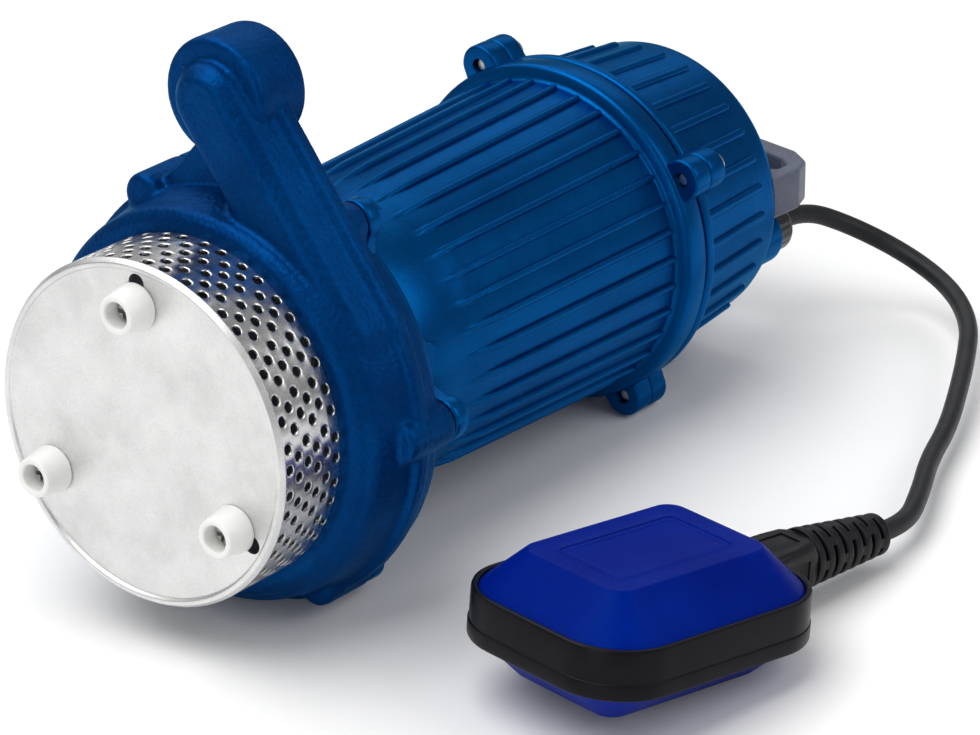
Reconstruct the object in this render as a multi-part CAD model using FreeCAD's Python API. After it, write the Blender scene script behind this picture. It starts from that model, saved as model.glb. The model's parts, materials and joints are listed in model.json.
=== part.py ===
import FreeCAD, Part
import math
import os

# Submersible sump pump lying on its side, with its float switch on a cord.
# Millimetres and degrees. Every pump piece is drawn with the shaft along X, the inlet feet
# at the low end and the carry handle at the high end, then laid on the floor z = 0.

V = FreeCAD.Vector
X_DIR = V(1, 0, 0)

# fits and clearances
SLIDE_GAP = 0.1        # radial gap of pieces that are put together and stay put
BEARING_FIT = 0.02     # radial gap between the shaft and the rings that turn with it
RUN_GAP = 0.4          # least gap between curved faces that turn past each other
FACE_GAP = 0.1         # gap between flat faces that turn past each other
SCREW_CLEARANCE = 0.25 # radial gap of a screw in a plain hole

# inlet strainer and its feet
STRAINER_R = 68.0
STRAINER_LENGTH = 36.0
SHEET = 0.9
DISC_RECESS = 1.3
RIM_WIDTH = 4.0
WALL_HOLE_R = 2.3
WALL_SIDES = 46
RIM_DEPTH = 2.2
HOLE_GROUPS = 23
HOLE_ROWS = 6
FIRST_ROW_X = 4.8
ROW_PITCH = 5.2
HOLE_STEP = 6.9
HOLE_STAGGER = 3.6
FIRST_HOLE_ANGLE = 108.2
DISC_HOLE_R = 3.6
DISC_HOLE_CIRCLE_R = 60.0
FOOT_CIRCLE_R = 51.0
FOOT_ANGLES = (90.0, 210.0, 330.0)
FOOT_HEIGHT = 12.0
FOOT_BASE_R = 9.5
FOOT_TIP_R = 7.5
FOOT_BORE_R = 5.0
FOOT_FLOOR = 4.0
FOOT_SCREW_R = 2.5
FOOT_SCREW_HEAD_R = 4.4
FOOT_SCREW_HEAD = 3.0
FOOT_SCREW_LENGTH = 22.0

# suction cover
PILLAR_R = 6.5
COVER_PLATE = 5.0
INLET_R = 21.0
EYE_RING = 4.0
SUCTION_OPENING_R = 55.0
SUCTION_SCREW_CIRCLE_R = 60.0
SUCTION_SCREW_ANGLES = (30.0, 150.0, 270.0)
SMALL_SCREW_R = 2.0
SMALL_HEAD_R = 3.6
SMALL_HEAD = 2.6
SMALL_SCREW_LENGTH = 9.0

# pump casing
LIP_R = 77.5
LIP_OVERLAP = 2.5
FRONT_WALL = 5.0
SCROLL_R = 81.5
SCROLL_OFFSET = 3.5
SCROLL_OFFSET_ANGLE = 215.0
SCROLL_ROUND = 11.0
SCROLL_REAR_ROUND = 8.0
SCROLL_LENGTH = 29.0
CHAMBER_R = 70.0
CHAMBER_DEPTH = 29.0
CHAMBER_MOUTH_R = 65.0
BACK_FLANGE_R = 78.0
BACK_FLANGE = 8.0
CASING_GASKET_R = 73.0
GASKET_WIDTH = 4.0
GASKET = 1.5
BOLT_CIRCLE_R = 80.0
BOLT_LUG_R = 9.0
BOLT_LUG_LENGTH = 24.0
LUG_NOSE = 4.0
BOLT_ANGLES = (0.0, 60.0, 120.0, 180.0, 240.0, 300.0)
CASING_BOLT_R = 3.0
CASING_BOLT_FLATS = 10.0
CASING_BOLT_HEAD = 5.0
CASING_BOLT_DEPTH = 12.0
ARM_HALF = 20.0
ARM_SHOULDER_HALF = 14.5
ARM_RIDGE_HALF = 8.0
ARM_RIDGE_PROUD = 8.5
ARM_SHOULDER = 5.5
ARM_FLARE = 19.0
ARM_SIDES = 24
ARM_BORE_R = 10.0
ARM_ROOT_Y = -58.0
ARM_ROOT_Z = 36.0
OUTLET_Y = 2.0
OUTLET_Z = 116.6
OUTLET_BOSS_R = 23.0
OUTLET_BOSS_LENGTH = 27.3
OUTLET_ROUND = 5.0
OUTLET_THREAD_R = 16.6
OUTLET_THREAD_DEPTH = 14.0
OUTLET_REAR_INSET = 1.7
ARM_DEPTH_X = 55.0
WEB_HALF = 8.0
WEB_TIP = 12.0
WEB_DROP = 22.0
WEB_WAIST_R = 87.3
WEB_WAIST_ANGLE = 72.0
WEB_ROOT_ANGLES = (53.0, 128.0)

# rotor
SHAFT_NOSE_R = 5.0
SHAFT_HUB_R = 6.0
SHAFT_SEAL_R = 8.0
SHAFT_FRONT_BEARING_R = 8.5
SHAFT_CORE_R = 11.0
SHAFT_REAR_BEARING_R = 7.5
IMPELLER_R = 52.0
IMPELLER_SHROUD = 3.0
IMPELLER_HUB_R = 11.0
IMPELLER_HUB = 16.0
VANE_COUNT = 6
VANE_HEIGHT = 17.0
VANE_THICKNESS = 3.0
VANE_BEND_R = 34.0
NUT_FLATS = 15.0
NUT_HEIGHT = 7.0
KEY_WIDTH = 4.0
KEY_LENGTH = 11.0
ROTOR_CORE_R = 27.6
ROTOR_CORE_LENGTH = 80.0
END_RING = 6.0
FRONT_BEARING_R = 20.0
FRONT_BEARING_WIDTH = 12.0
REAR_BEARING_R = 17.5
REAR_BEARING_WIDTH = 11.0
BEARING_RACE = 3.2

# shaft seal
SEAL_PLATE = 5.0
SEAL_PLATE_R = 53.0
SEAL_SPIGOT = 4.0
SEAL_SEAT_R = 14.0
SEAL_SEAT_BORE_R = 8.6
SEAL_HEAD_R = 12.5
SEAL_HEAD = 7.0
SEAL_BELLOWS = 10.0
RETAINING_RING = 1.5
PLATE_SCREW_CIRCLE_R = 46.5
PLATE_SCREW_COUNT = 4

# motor housing
FRONT_FLANGE_R = 73.0
FRONT_FLANGE = 7.0
EAR_R = 8.5
OIL_CHAMBER_R = 41.0
OIL_CHAMBER_LENGTH = 36.0
NECK_R = 49.0
BULGE_R = 60.0
BULGE_X = 113.0
BULGE_STEPS = 4
BODY_START_X = 126.0
BODY_START_R = 60.7
BODY_END_R = 65.0
BODY_RIB_COUNT = 36
BODY_RIB_PROUD = 1.7
BODY_RIB_WIDTH = 3.2
BODY_RIB_FADE = 8.0
JOINT_X = 265.0
JOINT_RING_R = 71.4
JOINT_RING = 11.0
JOINT_FLARE = 5.0
MOTOR_BORE_R = 55.0
BRACKET_SEAT_R = 60.0
LUG_ANGLES = (60.0, 150.0, 240.0, 330.0)
LUG_CIRCLE_R = 73.6
LUG_R = 8.5
LUG_HALF = 10.0
LUG_ROUND = 1.5
COVER_SCREW_R = 2.5
COVER_SCREW_HEAD_R = 4.5
COVER_SCREW_HEAD = 5.0
OIL_PLUG_ANGLE = 165.0
OIL_BOSS_R = 7.5
OIL_BOSS_PROUD = 0.5
OIL_PLUG_R = 4.0
OIL_PLUG_HEAD_R = 6.2
OIL_PLUG_HEAD = 5.0

LIP_SEAL_R = 14.0
LIP_SEAL_WIDTH = 4.0
LIP_SEAL_FIT = 0.05

# motor
STATOR_LENGTH = 80.0
STATOR_SLOTS = 12
SLOT_DEPTH = 12.0
SLOT_WIDTH = 8.0
TOOTH_LIP = 2.5
COIL_OVERHANG = 16.0
COIL_GAP = 0.3

# bearing bracket and top cover
BRACKET = 6.0
BRACKET_HUB_R = 24.0
BRACKET_BACKING = 3.0
VENT_R = 6.0
VENT_CIRCLE_R = 42.0
VENT_ANGLES = (0.0, 90.0, 180.0, 270.0)
COVER_LENGTH = 68.0
COVER_LIP_R = 70.0
COVER_LIP = 4.5
COVER_START_R = 65.0
COVER_END_R = 60.6
COVER_ROUND = 5.0
COVER_WALL = 4.0
COVER_GASKET_R = 66.0
COVER_END_WALL = 5.0
COVER_RIB_COUNT = 32
COVER_RIB_PROUD = 1.5
COVER_RIB_WIDTH = 3.4
COVER_RIB_MARGIN = 14.0
SPIGOT_LENGTH = 3.0
CAPACITOR_R = 17.0
CAPACITOR_LENGTH = 58.0
CAPACITOR_Z = -22.0
STRAP_WIDTH = 12.0
STRAP_THICKNESS = 1.2
STRAP_FOOT = 8.0
STRAP_SCREW_R = 1.5
STRAP_SCREW_HEAD_R = 2.8
STRAP_SCREW_HEAD = 2.0
STRAP_SCREW_DEPTH = 3.5

# carry handle
HANDLE_REACH = 56.0
HANDLE_WIDTH = 18.0
HANDLE_LEG_HEIGHT = 27.0
HANDLE_PEAK = 38.0
HANDLE_THICKNESS = 9.0
HANDLE_Z = 1.0
HANDLE_SCREW_HEAD_R = 4.0
HANDLE_SEAT = 8.0

# cord gland
GLAND_INSET = 12.0
GLAND_Z = -17.0
GLAND_BOSS_R = 13.0
GLAND_BOSS = 9.0
GLAND_NUT_R = 11.0
GLAND_NUT = 11.0
GLAND_STUB_R = 9.0
GLAND_STUB = 6.0
GLAND_SLEEVE_R = 7.0
GLAND_SLEEVE = 4.0
GROMMET_DEPTH = 6.0
CORE_BORE_R = 2.5

# cord and float switch
CORD_R = 4.0
BEND_SHARE = 0.45
CORD_FIRST_RUN = 18.0
CORD_LAST_RUN = 15.7
CORD_ROUTE = (
    (394.1, -54.8, 37.6), (403.3, -78.3, 26.0), (396.3, -104.8, 19.2), (377.0, -125.7, 15.8),
    (351.3, -139.6, 13.8), (324.8, -151.9, 11.4), (298.1, -163.3, 9.7), (270.4, -172.1, 9.8),
    (244.0, -184.6, 10.5),
)
FLOAT_X = 78.8
FLOAT_Y = -168.3
FLOAT_YAW = -10.4
FLOAT_PITCH = 7.7
FLOAT_LENGTH = 117.0
FLOAT_WIDTH = 92.0
FLOAT_CORNER_R = 27.0
BAND_HALF = 9.8
BAND_STEP = 1.0
BAND_STEP_Z = -1.5
SHELL_HALF = 24.7
SHELL_RIM_Z = 8.6
PLATEAU_CORNER_R = 7.0
SHELL_WALL = 2.5
SHELL_RIM_INSET = 3.0
BOOT_ROOT = 10.0
BOOT_ROOT_R = 8.0
BOOT_COLLAR = 29.0
BOOT_COLLAR_R = 12.0
BOOT_END_R = 8.4
BOOT_RIBS = 5
BOOT_LENGTH = 69.5
BOOT_GROOVE = 1.4
BOOT_SLIT = 2.0
WEIGHT_R = 7.0
WEIGHT_WIDTH = 16.0
WEIGHT_TRAVEL = 20.0
WEIGHT_X = 20.0
WEIGHT_Z = -7.2
TRACK_WALL = 2.0
SWITCH_X = 6.0
SWITCH_LENGTH = 28.0
SWITCH_WIDTH = 10.0
SWITCH_HEIGHT = 16.0
LEVER_LENGTH = 25.0
LEVER_THICKNESS = 0.8
LEVER_SLOPE = 18.0
BUTTON_R = 1.8
BUTTON_ARM = 7.0
BUTTON_HOLE = 4.0
LEVER_PIN_R = 0.8
PIVOT_FIT = 0.05
LEVER_HINGE_X = 2.0
LEVER_HINGE_DROP = 1.2
EAR_THICKNESS = 1.5
EAR_HALF = 1.6

# stations along the shaft that follow from the sizes above
LIP_X = STRAINER_LENGTH - LIP_OVERLAP
COVER_X = STRAINER_LENGTH + 2.0
FRONT_WALL_X = COVER_X + COVER_PLATE
CHAMBER_X = FRONT_WALL_X + FRONT_WALL
SCROLL_END_X = FRONT_WALL_X + SCROLL_LENGTH
HOUSING_X = CHAMBER_X + CHAMBER_DEPTH
OUTLET_REAR_X = HOUSING_X - OUTLET_REAR_INSET
OUTLET_FRONT_X = OUTLET_REAR_X - OUTLET_BOSS_LENGTH
SEAL_FACE_X = HOUSING_X
OIL_END_X = HOUSING_X + OIL_CHAMBER_LENGTH
OIL_PLUG_X = HOUSING_X + FRONT_FLANGE + OIL_BOSS_R + 2.0
OIL_BOSS_TOP_R = BULGE_R + OIL_BOSS_PROUD
FRONT_BEARING_X = OIL_END_X + 5.0
SHOULDER_X = FRONT_BEARING_X + FRONT_BEARING_WIDTH
BRACKET_X = JOINT_X - SPIGOT_LENGTH - BRACKET
REAR_BEARING_X = BRACKET_X + BRACKET_BACKING
CORE_X = (SHOULDER_X + BRACKET_X - STATOR_LENGTH) / 2.0
COVER_END_X = JOINT_X + COVER_LENGTH
COVER_INNER_X = COVER_END_X - COVER_END_WALL
GLAND_Y = GLAND_INSET - HANDLE_REACH
IMPELLER_BACK_X = HOUSING_X - SEAL_PLATE - 3.5
IMPELLER_FRONT_X = IMPELLER_BACK_X - IMPELLER_SHROUD - VANE_HEIGHT
HUB_X = IMPELLER_BACK_X - IMPELLER_HUB
NUT_X = HUB_X - NUT_HEIGHT
NOSE_X = NUT_X - 2.0
BEARINGS = (
    (FRONT_BEARING_R, SHAFT_FRONT_BEARING_R, FRONT_BEARING_X, FRONT_BEARING_WIDTH),
    (REAR_BEARING_R, SHAFT_REAR_BEARING_R, REAR_BEARING_X, REAR_BEARING_WIDTH),
)


def polar(radius, angle):
    """y and z of a point on a circle about the shaft"""
    return radius * math.cos(math.radians(angle)), radius * math.sin(math.radians(angle))


def rod(radius, x0, x1, y=0.0, z=0.0):
    """cylinder along X"""
    return Part.makeCylinder(radius, x1 - x0, V(x0, y, z), X_DIR)


def tube(outer, inner, x0, x1, y=0.0, z=0.0):
    """pipe along X"""
    return rod(outer, x0, x1, y, z).cut(rod(inner, x0, x1, y, z))


def cone(r0, r1, x0, x1, y=0.0, z=0.0):
    """tapered rod along X"""
    return Part.makeCone(r0, r1, x1 - x0, V(x0, y, z), X_DIR)


def turned(points, y=0.0, z=0.0):
    """solid turned about an axis along X from a closed outline of (x, radius) points"""
    corners = [V(x, y + r, z) for x, r in points]
    face = Part.Face(Part.makePolygon(corners + corners[:1]))
    return face.revolve(V(0, y, z), X_DIR, 360)


def block(x0, x1, y0, y1, z0, z1):
    """box between two corners"""
    return Part.makeBox(x1 - x0, y1 - y0, z1 - z0, V(x0, y0, z0))


def prism(points, direction):
    """straight solid swept from a closed outline"""
    face = Part.Face(Part.makePolygon(points + points[:1]))
    return face.extrude(direction)


def joined(shapes):
    """one solid from overlapping ones"""
    return shapes[0].multiFuse(shapes[1:]).removeSplitter()


def around(angles, radius, maker):
    """copies of a solid made at each angle of a circle about the shaft"""
    return [maker(*polar(radius, angle)) for angle in angles]


def spoke(radius, r0, r1, x, angle):
    """rod that points away from the shaft"""
    y, z = polar(1.0, angle)
    return Part.makeCylinder(radius, r1 - r0, V(x, y * r0, z * r0), V(0, y, z))


def turned_to(shape, angle):
    """copy of a shape turned about the shaft"""
    copy = shape.copy()
    copy.rotate(V(0, 0, 0), X_DIR, angle)
    return copy


def hexagon(flats, x0, x1):
    """hexagonal bar along X"""
    radius = flats / math.sqrt(3.0)
    corners = []
    for k in range(6):
        y, z = polar(radius, 60.0 * k)
        corners.append(V(x0, y, z))
    return prism(corners, V(x1 - x0, 0, 0))


def screw(x_head, head, head_r, shank_r, length, y, z, toward):
    """screw along X; its head starts at x_head and its shank points toward +1 or -1"""
    head_end = x_head + toward * head
    tip = head_end + toward * length
    parts = [rod(head_r, min(x_head, head_end), max(x_head, head_end), y, z)]
    parts.append(rod(shank_r, min(x_head, tip), max(x_head, tip), y, z))
    return joined(parts)


def hex_screw(x_head, head, flats, shank_r, length, y, z, toward):
    """bolt along X with a six-sided head"""
    head_end = x_head + toward * head
    tip = head_end + toward * length
    top = hexagon(flats, min(x_head, head_end), max(x_head, head_end))
    top.translate(V(0, y, z))
    return joined([top, rod(shank_r, min(head_end, tip), max(head_end, tip), y, z)])


def stacked(rings):
    """solid with flat sides between rings of corners that match one to one"""
    faces = [Part.Face(Part.makePolygon(ring + ring[:1])) for ring in (rings[0], rings[-1])]
    count = len(rings[0])
    for low, high in zip(rings, rings[1:]):
        for k in range(count):
            n = (k + 1) % count
            faces.append(Part.Face(Part.makePolygon([low[k], low[n], high[n], high[k], low[k]])))
    solid = Part.makeSolid(Part.makeShell(faces))
    if solid.Volume < 0:
        solid.reverse()
    return solid


def faceted(count, first, stations):
    """solid with flat sides whose corners run through (x, radius) stations"""
    rings = []
    for x, radius in stations:
        ring = []
        for k in range(count):
            y, z = polar(radius, first + 360.0 / count * k)
            ring.append(V(x, y, z))
        rings.append(ring)
    return stacked(rings)


def strainer_hole(x, angle):
    """radial four-cornered punch through the strainer wall"""
    y = STRAINER_R - 3.0 * SHEET
    reach = WALL_HOLE_R
    corners = [V(x - reach, y, 0), V(x, y, reach), V(x + reach, y, 0), V(x, y, -reach)]
    punch = prism(corners, V(0, 6.0 * SHEET, 0))
    return turned_to(punch, angle)


def strainer_basket():
    inner = STRAINER_R - SHEET
    wall = faceted(WALL_SIDES, FIRST_HOLE_ANGLE, [(RIM_DEPTH, STRAINER_R), (STRAINER_LENGTH, STRAINER_R)])
    wall = wall.cut(faceted(WALL_SIDES, FIRST_HOLE_ANGLE, [(-1.0, inner), (STRAINER_LENGTH + 1.0, inner)]))
    disc_r = STRAINER_R - RIM_WIDTH
    front = turned([
        (DISC_RECESS, 0.0), (DISC_RECESS, disc_r), (0.0, disc_r + 1.0), (0.0, STRAINER_R - 1.5),
        (RIM_DEPTH, STRAINER_R), (RIM_DEPTH + 0.6, STRAINER_R), (RIM_DEPTH + 0.6, inner - 0.6),
        (DISC_RECESS + SHEET, inner - 0.6), (DISC_RECESS + SHEET, 0.0),
    ])
    punches = []
    for row in range(HOLE_ROWS):
        x = FIRST_ROW_X + ROW_PITCH * row
        for group in range(HOLE_GROUPS):
            start = FIRST_HOLE_ANGLE + 360.0 / HOLE_GROUPS * group + HOLE_STAGGER * (row % 2)
            punches.append(strainer_hole(x, start))
            punches.append(strainer_hole(x, start + HOLE_STEP))
    for angle in FOOT_ANGLES:
        y, z = polar(FOOT_CIRCLE_R, angle)
        punches.append(rod(FOOT_SCREW_R + SCREW_CLEARANCE, -1.0, 5.0, y, z))
        y, z = polar(DISC_HOLE_CIRCLE_R, angle)
        punches.append(rod(DISC_HOLE_R, -1.0, 5.0, y, z))
    return joined([wall, front]).cut(Part.makeCompound(punches))


def strainer_feet():
    floor_x = DISC_RECESS - FOOT_FLOOR
    tip_x = DISC_RECESS - FOOT_HEIGHT

    def foot(y, z):
        body = cone(FOOT_TIP_R, FOOT_BASE_R, tip_x, DISC_RECESS, y, z)
        body = body.cut(rod(FOOT_BORE_R, tip_x - 1.0, floor_x, y, z))
        return body.cut(rod(FOOT_SCREW_R + SCREW_CLEARANCE, tip_x, DISC_RECESS + 1.0, y, z))

    return around(FOOT_ANGLES, FOOT_CIRCLE_R, foot)


def foot_screws():
    floor_x = DISC_RECESS - FOOT_FLOOR

    def one(y, z):
        return screw(floor_x - FOOT_SCREW_HEAD, FOOT_SCREW_HEAD, FOOT_SCREW_HEAD_R,
                     FOOT_SCREW_R, FOOT_SCREW_LENGTH, y, z, 1)

    return around(FOOT_ANGLES, FOOT_CIRCLE_R, one)


def suction_cover():
    plate_r = SUCTION_SCREW_CIRCLE_R + SMALL_HEAD_R + 1.4
    inner_x = CHAMBER_X - 0.5
    plate = turned([
        (COVER_X, INLET_R), (COVER_X, plate_r), (FRONT_WALL_X, plate_r),
        (FRONT_WALL_X, SUCTION_OPENING_R - SLIDE_GAP), (inner_x, SUCTION_OPENING_R - SLIDE_GAP),
        (inner_x, INLET_R),
    ])
    eye = tube(INLET_R + EYE_RING, INLET_R, COVER_X - 4.0, inner_x)
    pillar_x = DISC_RECESS + SHEET

    def pillar(y, z):
        return rod(PILLAR_R, pillar_x, COVER_X + 1.0, y, z)

    body = joined([plate, eye] + around(FOOT_ANGLES, FOOT_CIRCLE_R, pillar))
    depth = DISC_RECESS - FOOT_FLOOR + FOOT_SCREW_LENGTH + 2.0
    taps = around(FOOT_ANGLES, FOOT_CIRCLE_R,
                  lambda y, z: rod(FOOT_SCREW_R, pillar_x - 1.0, depth, y, z))
    hole_r = SMALL_SCREW_R + SCREW_CLEARANCE
    holes = around(SUCTION_SCREW_ANGLES, SUCTION_SCREW_CIRCLE_R,
                   lambda y, z: rod(hole_r, COVER_X - 1.0, FRONT_WALL_X + 1.0, y, z))
    return body.cut(Part.makeCompound(taps + holes))


def suction_cover_screws():
    def one(y, z):
        return screw(COVER_X - SMALL_HEAD, SMALL_HEAD, SMALL_HEAD_R, SMALL_SCREW_R,
                     SMALL_SCREW_LENGTH, y, z, 1)

    return around(SUCTION_SCREW_ANGLES, SUCTION_SCREW_CIRCLE_R, one)


def arm_section():
    """(x, half width) of the arm, from its front ridge to its flat back"""
    ridge = OUTLET_FRONT_X - ARM_RIDGE_PROUD
    shoulder = ridge + ARM_SHOULDER
    return [(ridge, ARM_RIDGE_HALF), (shoulder, ARM_SHOULDER_HALF), (shoulder + ARM_FLARE, ARM_HALF),
            (OUTLET_REAR_X, ARM_HALF)]


def discharge_arm():
    """ridged arm from the scroll to the port, with half-round ends"""
    heading = math.degrees(math.atan2(OUTLET_Z - ARM_ROOT_Z, OUTLET_Y - ARM_ROOT_Y))
    rings = []
    for x, half in arm_section():
        ring = []
        for y0, z0, first in ((OUTLET_Y, OUTLET_Z, heading - 90.0), (ARM_ROOT_Y, ARM_ROOT_Z, heading + 90.0)):
            for k in range(ARM_SIDES // 2 + 1):
                y, z = polar(half, first + 360.0 / ARM_SIDES * k)
                ring.append(V(x, y0 + y, z0 + z))
        rings.append(ring)
    return stacked(rings)


def discharge_bore():
    """passage from the chamber along the arm and out of the port"""
    root = V(ARM_DEPTH_X, ARM_ROOT_Y, ARM_ROOT_Z)
    along = V(0, OUTLET_Y - ARM_ROOT_Y, OUTLET_Z - ARM_ROOT_Z)
    thread_x = OUTLET_REAR_X - OUTLET_THREAD_DEPTH
    return [
        Part.makeCylinder(ARM_BORE_R, along.Length, root, along),
        rod(ARM_BORE_R, ARM_DEPTH_X, thread_x + 1.0, OUTLET_Y, OUTLET_Z),
        rod(OUTLET_THREAD_R, thread_x, OUTLET_REAR_X + 1.0, OUTLET_Y, OUTLET_Z),
    ]


def arm_web():
    """gusset between the port, the scroll and the bolt lug beside the arm"""
    corners = [(OUTLET_Y + WEB_TIP, OUTLET_Z - WEB_TIP), (OUTLET_Y + WEB_TIP + 3.0, OUTLET_Z - WEB_DROP)]
    corners.append(polar(WEB_WAIST_R, WEB_WAIST_ANGLE))
    corners.append(polar(BOLT_CIRCLE_R, BOLT_ANGLES[1]))
    corners += [polar(CHAMBER_R - 10.0, angle) for angle in WEB_ROOT_ANGLES]
    x0 = ARM_DEPTH_X + 3.0 - WEB_HALF
    return prism([V(x0, y, z) for y, z in corners], V(2.0 * WEB_HALF, 0, 0))


def casing_outside():
    sy, sz = polar(SCROLL_OFFSET, SCROLL_OFFSET_ANGLE)
    front = SCROLL_ROUND
    rear = SCROLL_REAR_ROUND
    scroll = turned([
        (FRONT_WALL_X, 0.0), (FRONT_WALL_X, SCROLL_R - front),
        (FRONT_WALL_X + front * 0.3, SCROLL_R - front * 0.3), (FRONT_WALL_X + front, SCROLL_R),
        (SCROLL_END_X - rear, SCROLL_R), (SCROLL_END_X, SCROLL_R - rear), (SCROLL_END_X, 0.0),
    ], sy, sz)
    flange = rod(BACK_FLANGE_R, HOUSING_X - BACK_FLANGE, HOUSING_X)
    lip = turned([
        (LIP_X, STRAINER_R - 4.0), (LIP_X, LIP_R - 2.0), (LIP_X + 2.0, LIP_R), (LIP_X + 5.5, LIP_R),
        (FRONT_WALL_X + 3.0, LIP_R - 4.5), (FRONT_WALL_X + 3.0, STRAINER_R - 4.0),
    ])
    lug_x = HOUSING_X - BOLT_LUG_LENGTH

    def lug(y, z):
        nose = cone(BOLT_LUG_R - LUG_NOSE, BOLT_LUG_R, lug_x, lug_x + LUG_NOSE, y, z)
        return nose.fuse(rod(BOLT_LUG_R, lug_x + LUG_NOSE, HOUSING_X, y, z))

    round_x = OUTLET_FRONT_X + OUTLET_ROUND
    nose = cone(OUTLET_BOSS_R - OUTLET_ROUND, OUTLET_BOSS_R, OUTLET_FRONT_X, round_x, OUTLET_Y, OUTLET_Z)
    boss = rod(OUTLET_BOSS_R, round_x, OUTLET_REAR_X, OUTLET_Y, OUTLET_Z)
    lugs = around(BOLT_ANGLES, BOLT_CIRCLE_R, lug)
    return joined([scroll, flange, lip, nose, boss, discharge_arm(), arm_web()] + lugs)


def pump_casing():
    body = casing_outside()
    sy, sz = polar(SCROLL_OFFSET, SCROLL_OFFSET_ANGLE)
    cover_r = SUCTION_SCREW_CIRCLE_R + SMALL_HEAD_R + 1.4 + SLIDE_GAP
    hollow = [
        rod(STRAINER_R + SLIDE_GAP, LIP_X - 1.0, STRAINER_LENGTH),
        rod(cover_r, LIP_X, FRONT_WALL_X),
        rod(SUCTION_OPENING_R, LIP_X, CHAMBER_X + 1.0),
        rod(CHAMBER_R, CHAMBER_X, HOUSING_X - BACK_FLANGE, sy, sz),
        rod(CHAMBER_MOUTH_R, CHAMBER_X + 1.0, HOUSING_X + 1.0),
        tube(CASING_GASKET_R, CASING_GASKET_R - GASKET_WIDTH, HOUSING_X - GASKET, HOUSING_X + 1.0),
    ]
    hollow += discharge_bore()
    tap_end = FRONT_WALL_X + SMALL_SCREW_LENGTH
    hollow += around(SUCTION_SCREW_ANGLES, SUCTION_SCREW_CIRCLE_R,
                     lambda y, z: rod(SMALL_SCREW_R, FRONT_WALL_X - 1.0, tap_end, y, z))
    bolt_end = HOUSING_X - CASING_BOLT_DEPTH - 1.0
    hollow += around(BOLT_ANGLES, BOLT_CIRCLE_R,
                     lambda y, z: rod(CASING_BOLT_R, bolt_end, HOUSING_X + 1.0, y, z))
    for tool in hollow:
        body = body.cut(tool)
    return body


def casing_gasket():
    return tube(CASING_GASKET_R, CASING_GASKET_R - GASKET_WIDTH, HOUSING_X - GASKET, HOUSING_X)


def seal_plate():
    bore = SEAL_SEAT_R
    face_x = HOUSING_X - SEAL_PLATE
    body = turned([
        (face_x, bore), (face_x, SEAL_PLATE_R), (HOUSING_X, SEAL_PLATE_R),
        (HOUSING_X, OIL_CHAMBER_R - SLIDE_GAP), (HOUSING_X + SEAL_SPIGOT, OIL_CHAMBER_R - SLIDE_GAP),
        (HOUSING_X + SEAL_SPIGOT, OIL_CHAMBER_R - 6.0), (HOUSING_X, OIL_CHAMBER_R - 6.0),
        (HOUSING_X, bore),
    ])
    hole_r = SMALL_SCREW_R + SCREW_CLEARANCE
    holes = around(plate_screw_angles(), PLATE_SCREW_CIRCLE_R,
                   lambda y, z: rod(hole_r, face_x - 1.0, HOUSING_X + 1.0, y, z))
    return body.cut(Part.makeCompound(holes))


def plate_screw_angles():
    return [45.0 + 360.0 / PLATE_SCREW_COUNT * k for k in range(PLATE_SCREW_COUNT)]


def seal_plate_screws():
    head_x = HOUSING_X - SEAL_PLATE - SMALL_HEAD

    def one(y, z):
        return screw(head_x, SMALL_HEAD, SMALL_HEAD_R, SMALL_SCREW_R, SMALL_SCREW_LENGTH, y, z, 1)

    return around(plate_screw_angles(), PLATE_SCREW_CIRCLE_R, one)


def seal_seat():
    return tube(SEAL_SEAT_R, SEAL_SEAT_BORE_R, HOUSING_X - SEAL_PLATE, SEAL_FACE_X)


def seal_head():
    x0 = SEAL_FACE_X + FACE_GAP
    return tube(SEAL_HEAD_R, SHAFT_SEAL_R + BEARING_FIT, x0, x0 + SEAL_HEAD)


def seal_bellows():
    """rubber sleeve with one fold that pushes the seal head forward"""
    x0 = SEAL_FACE_X + FACE_GAP + SEAL_HEAD
    bore = SHAFT_SEAL_R + BEARING_FIT
    third = SEAL_BELLOWS / 3.0
    high = SEAL_HEAD_R - 0.5
    low = SEAL_HEAD_R - 2.5
    return turned([
        (x0, bore), (x0, low), (x0 + third, low), (x0 + third, high), (x0 + 2.0 * third, high),
        (x0 + 2.0 * third, low), (x0 + SEAL_BELLOWS, low), (x0 + SEAL_BELLOWS, bore),
    ])


def body_radius(x):
    """outer radius of the tapered motor body at one station"""
    share = (x - BODY_START_X) / (JOINT_X - JOINT_RING - JOINT_FLARE - BODY_START_X)
    return BODY_START_R + (BODY_END_R - BODY_START_R) * share


def rib(x0, x1, radius_at, proud, width, fade):
    """straight cooling rib above +Y, faded out at its low end and blunt at its high end"""
    y0 = radius_at(x0) - 1.0
    y1 = radius_at(x1) - 1.0
    top = radius_at(x1) + proud
    fade_x = x0 + fade
    outline = [(x0, y0), (fade_x, radius_at(fade_x) + proud), (x1 - 0.8, top), (x1, top - 0.8), (x1, y1)]
    return prism([V(x, y, -width / 2.0) for x, y in outline], V(0, 0, width))


def rib_ring(x0, x1, radius_at, proud, width, fade, count):
    """ribs all round, with a gap between two of them centred on the screw lugs"""
    first = LUG_ANGLES[0] + 180.0 / count
    one = rib(x0, x1, radius_at, proud, width, fade)
    return [turned_to(one, first + 360.0 / count * k) for k in range(count)]


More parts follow.
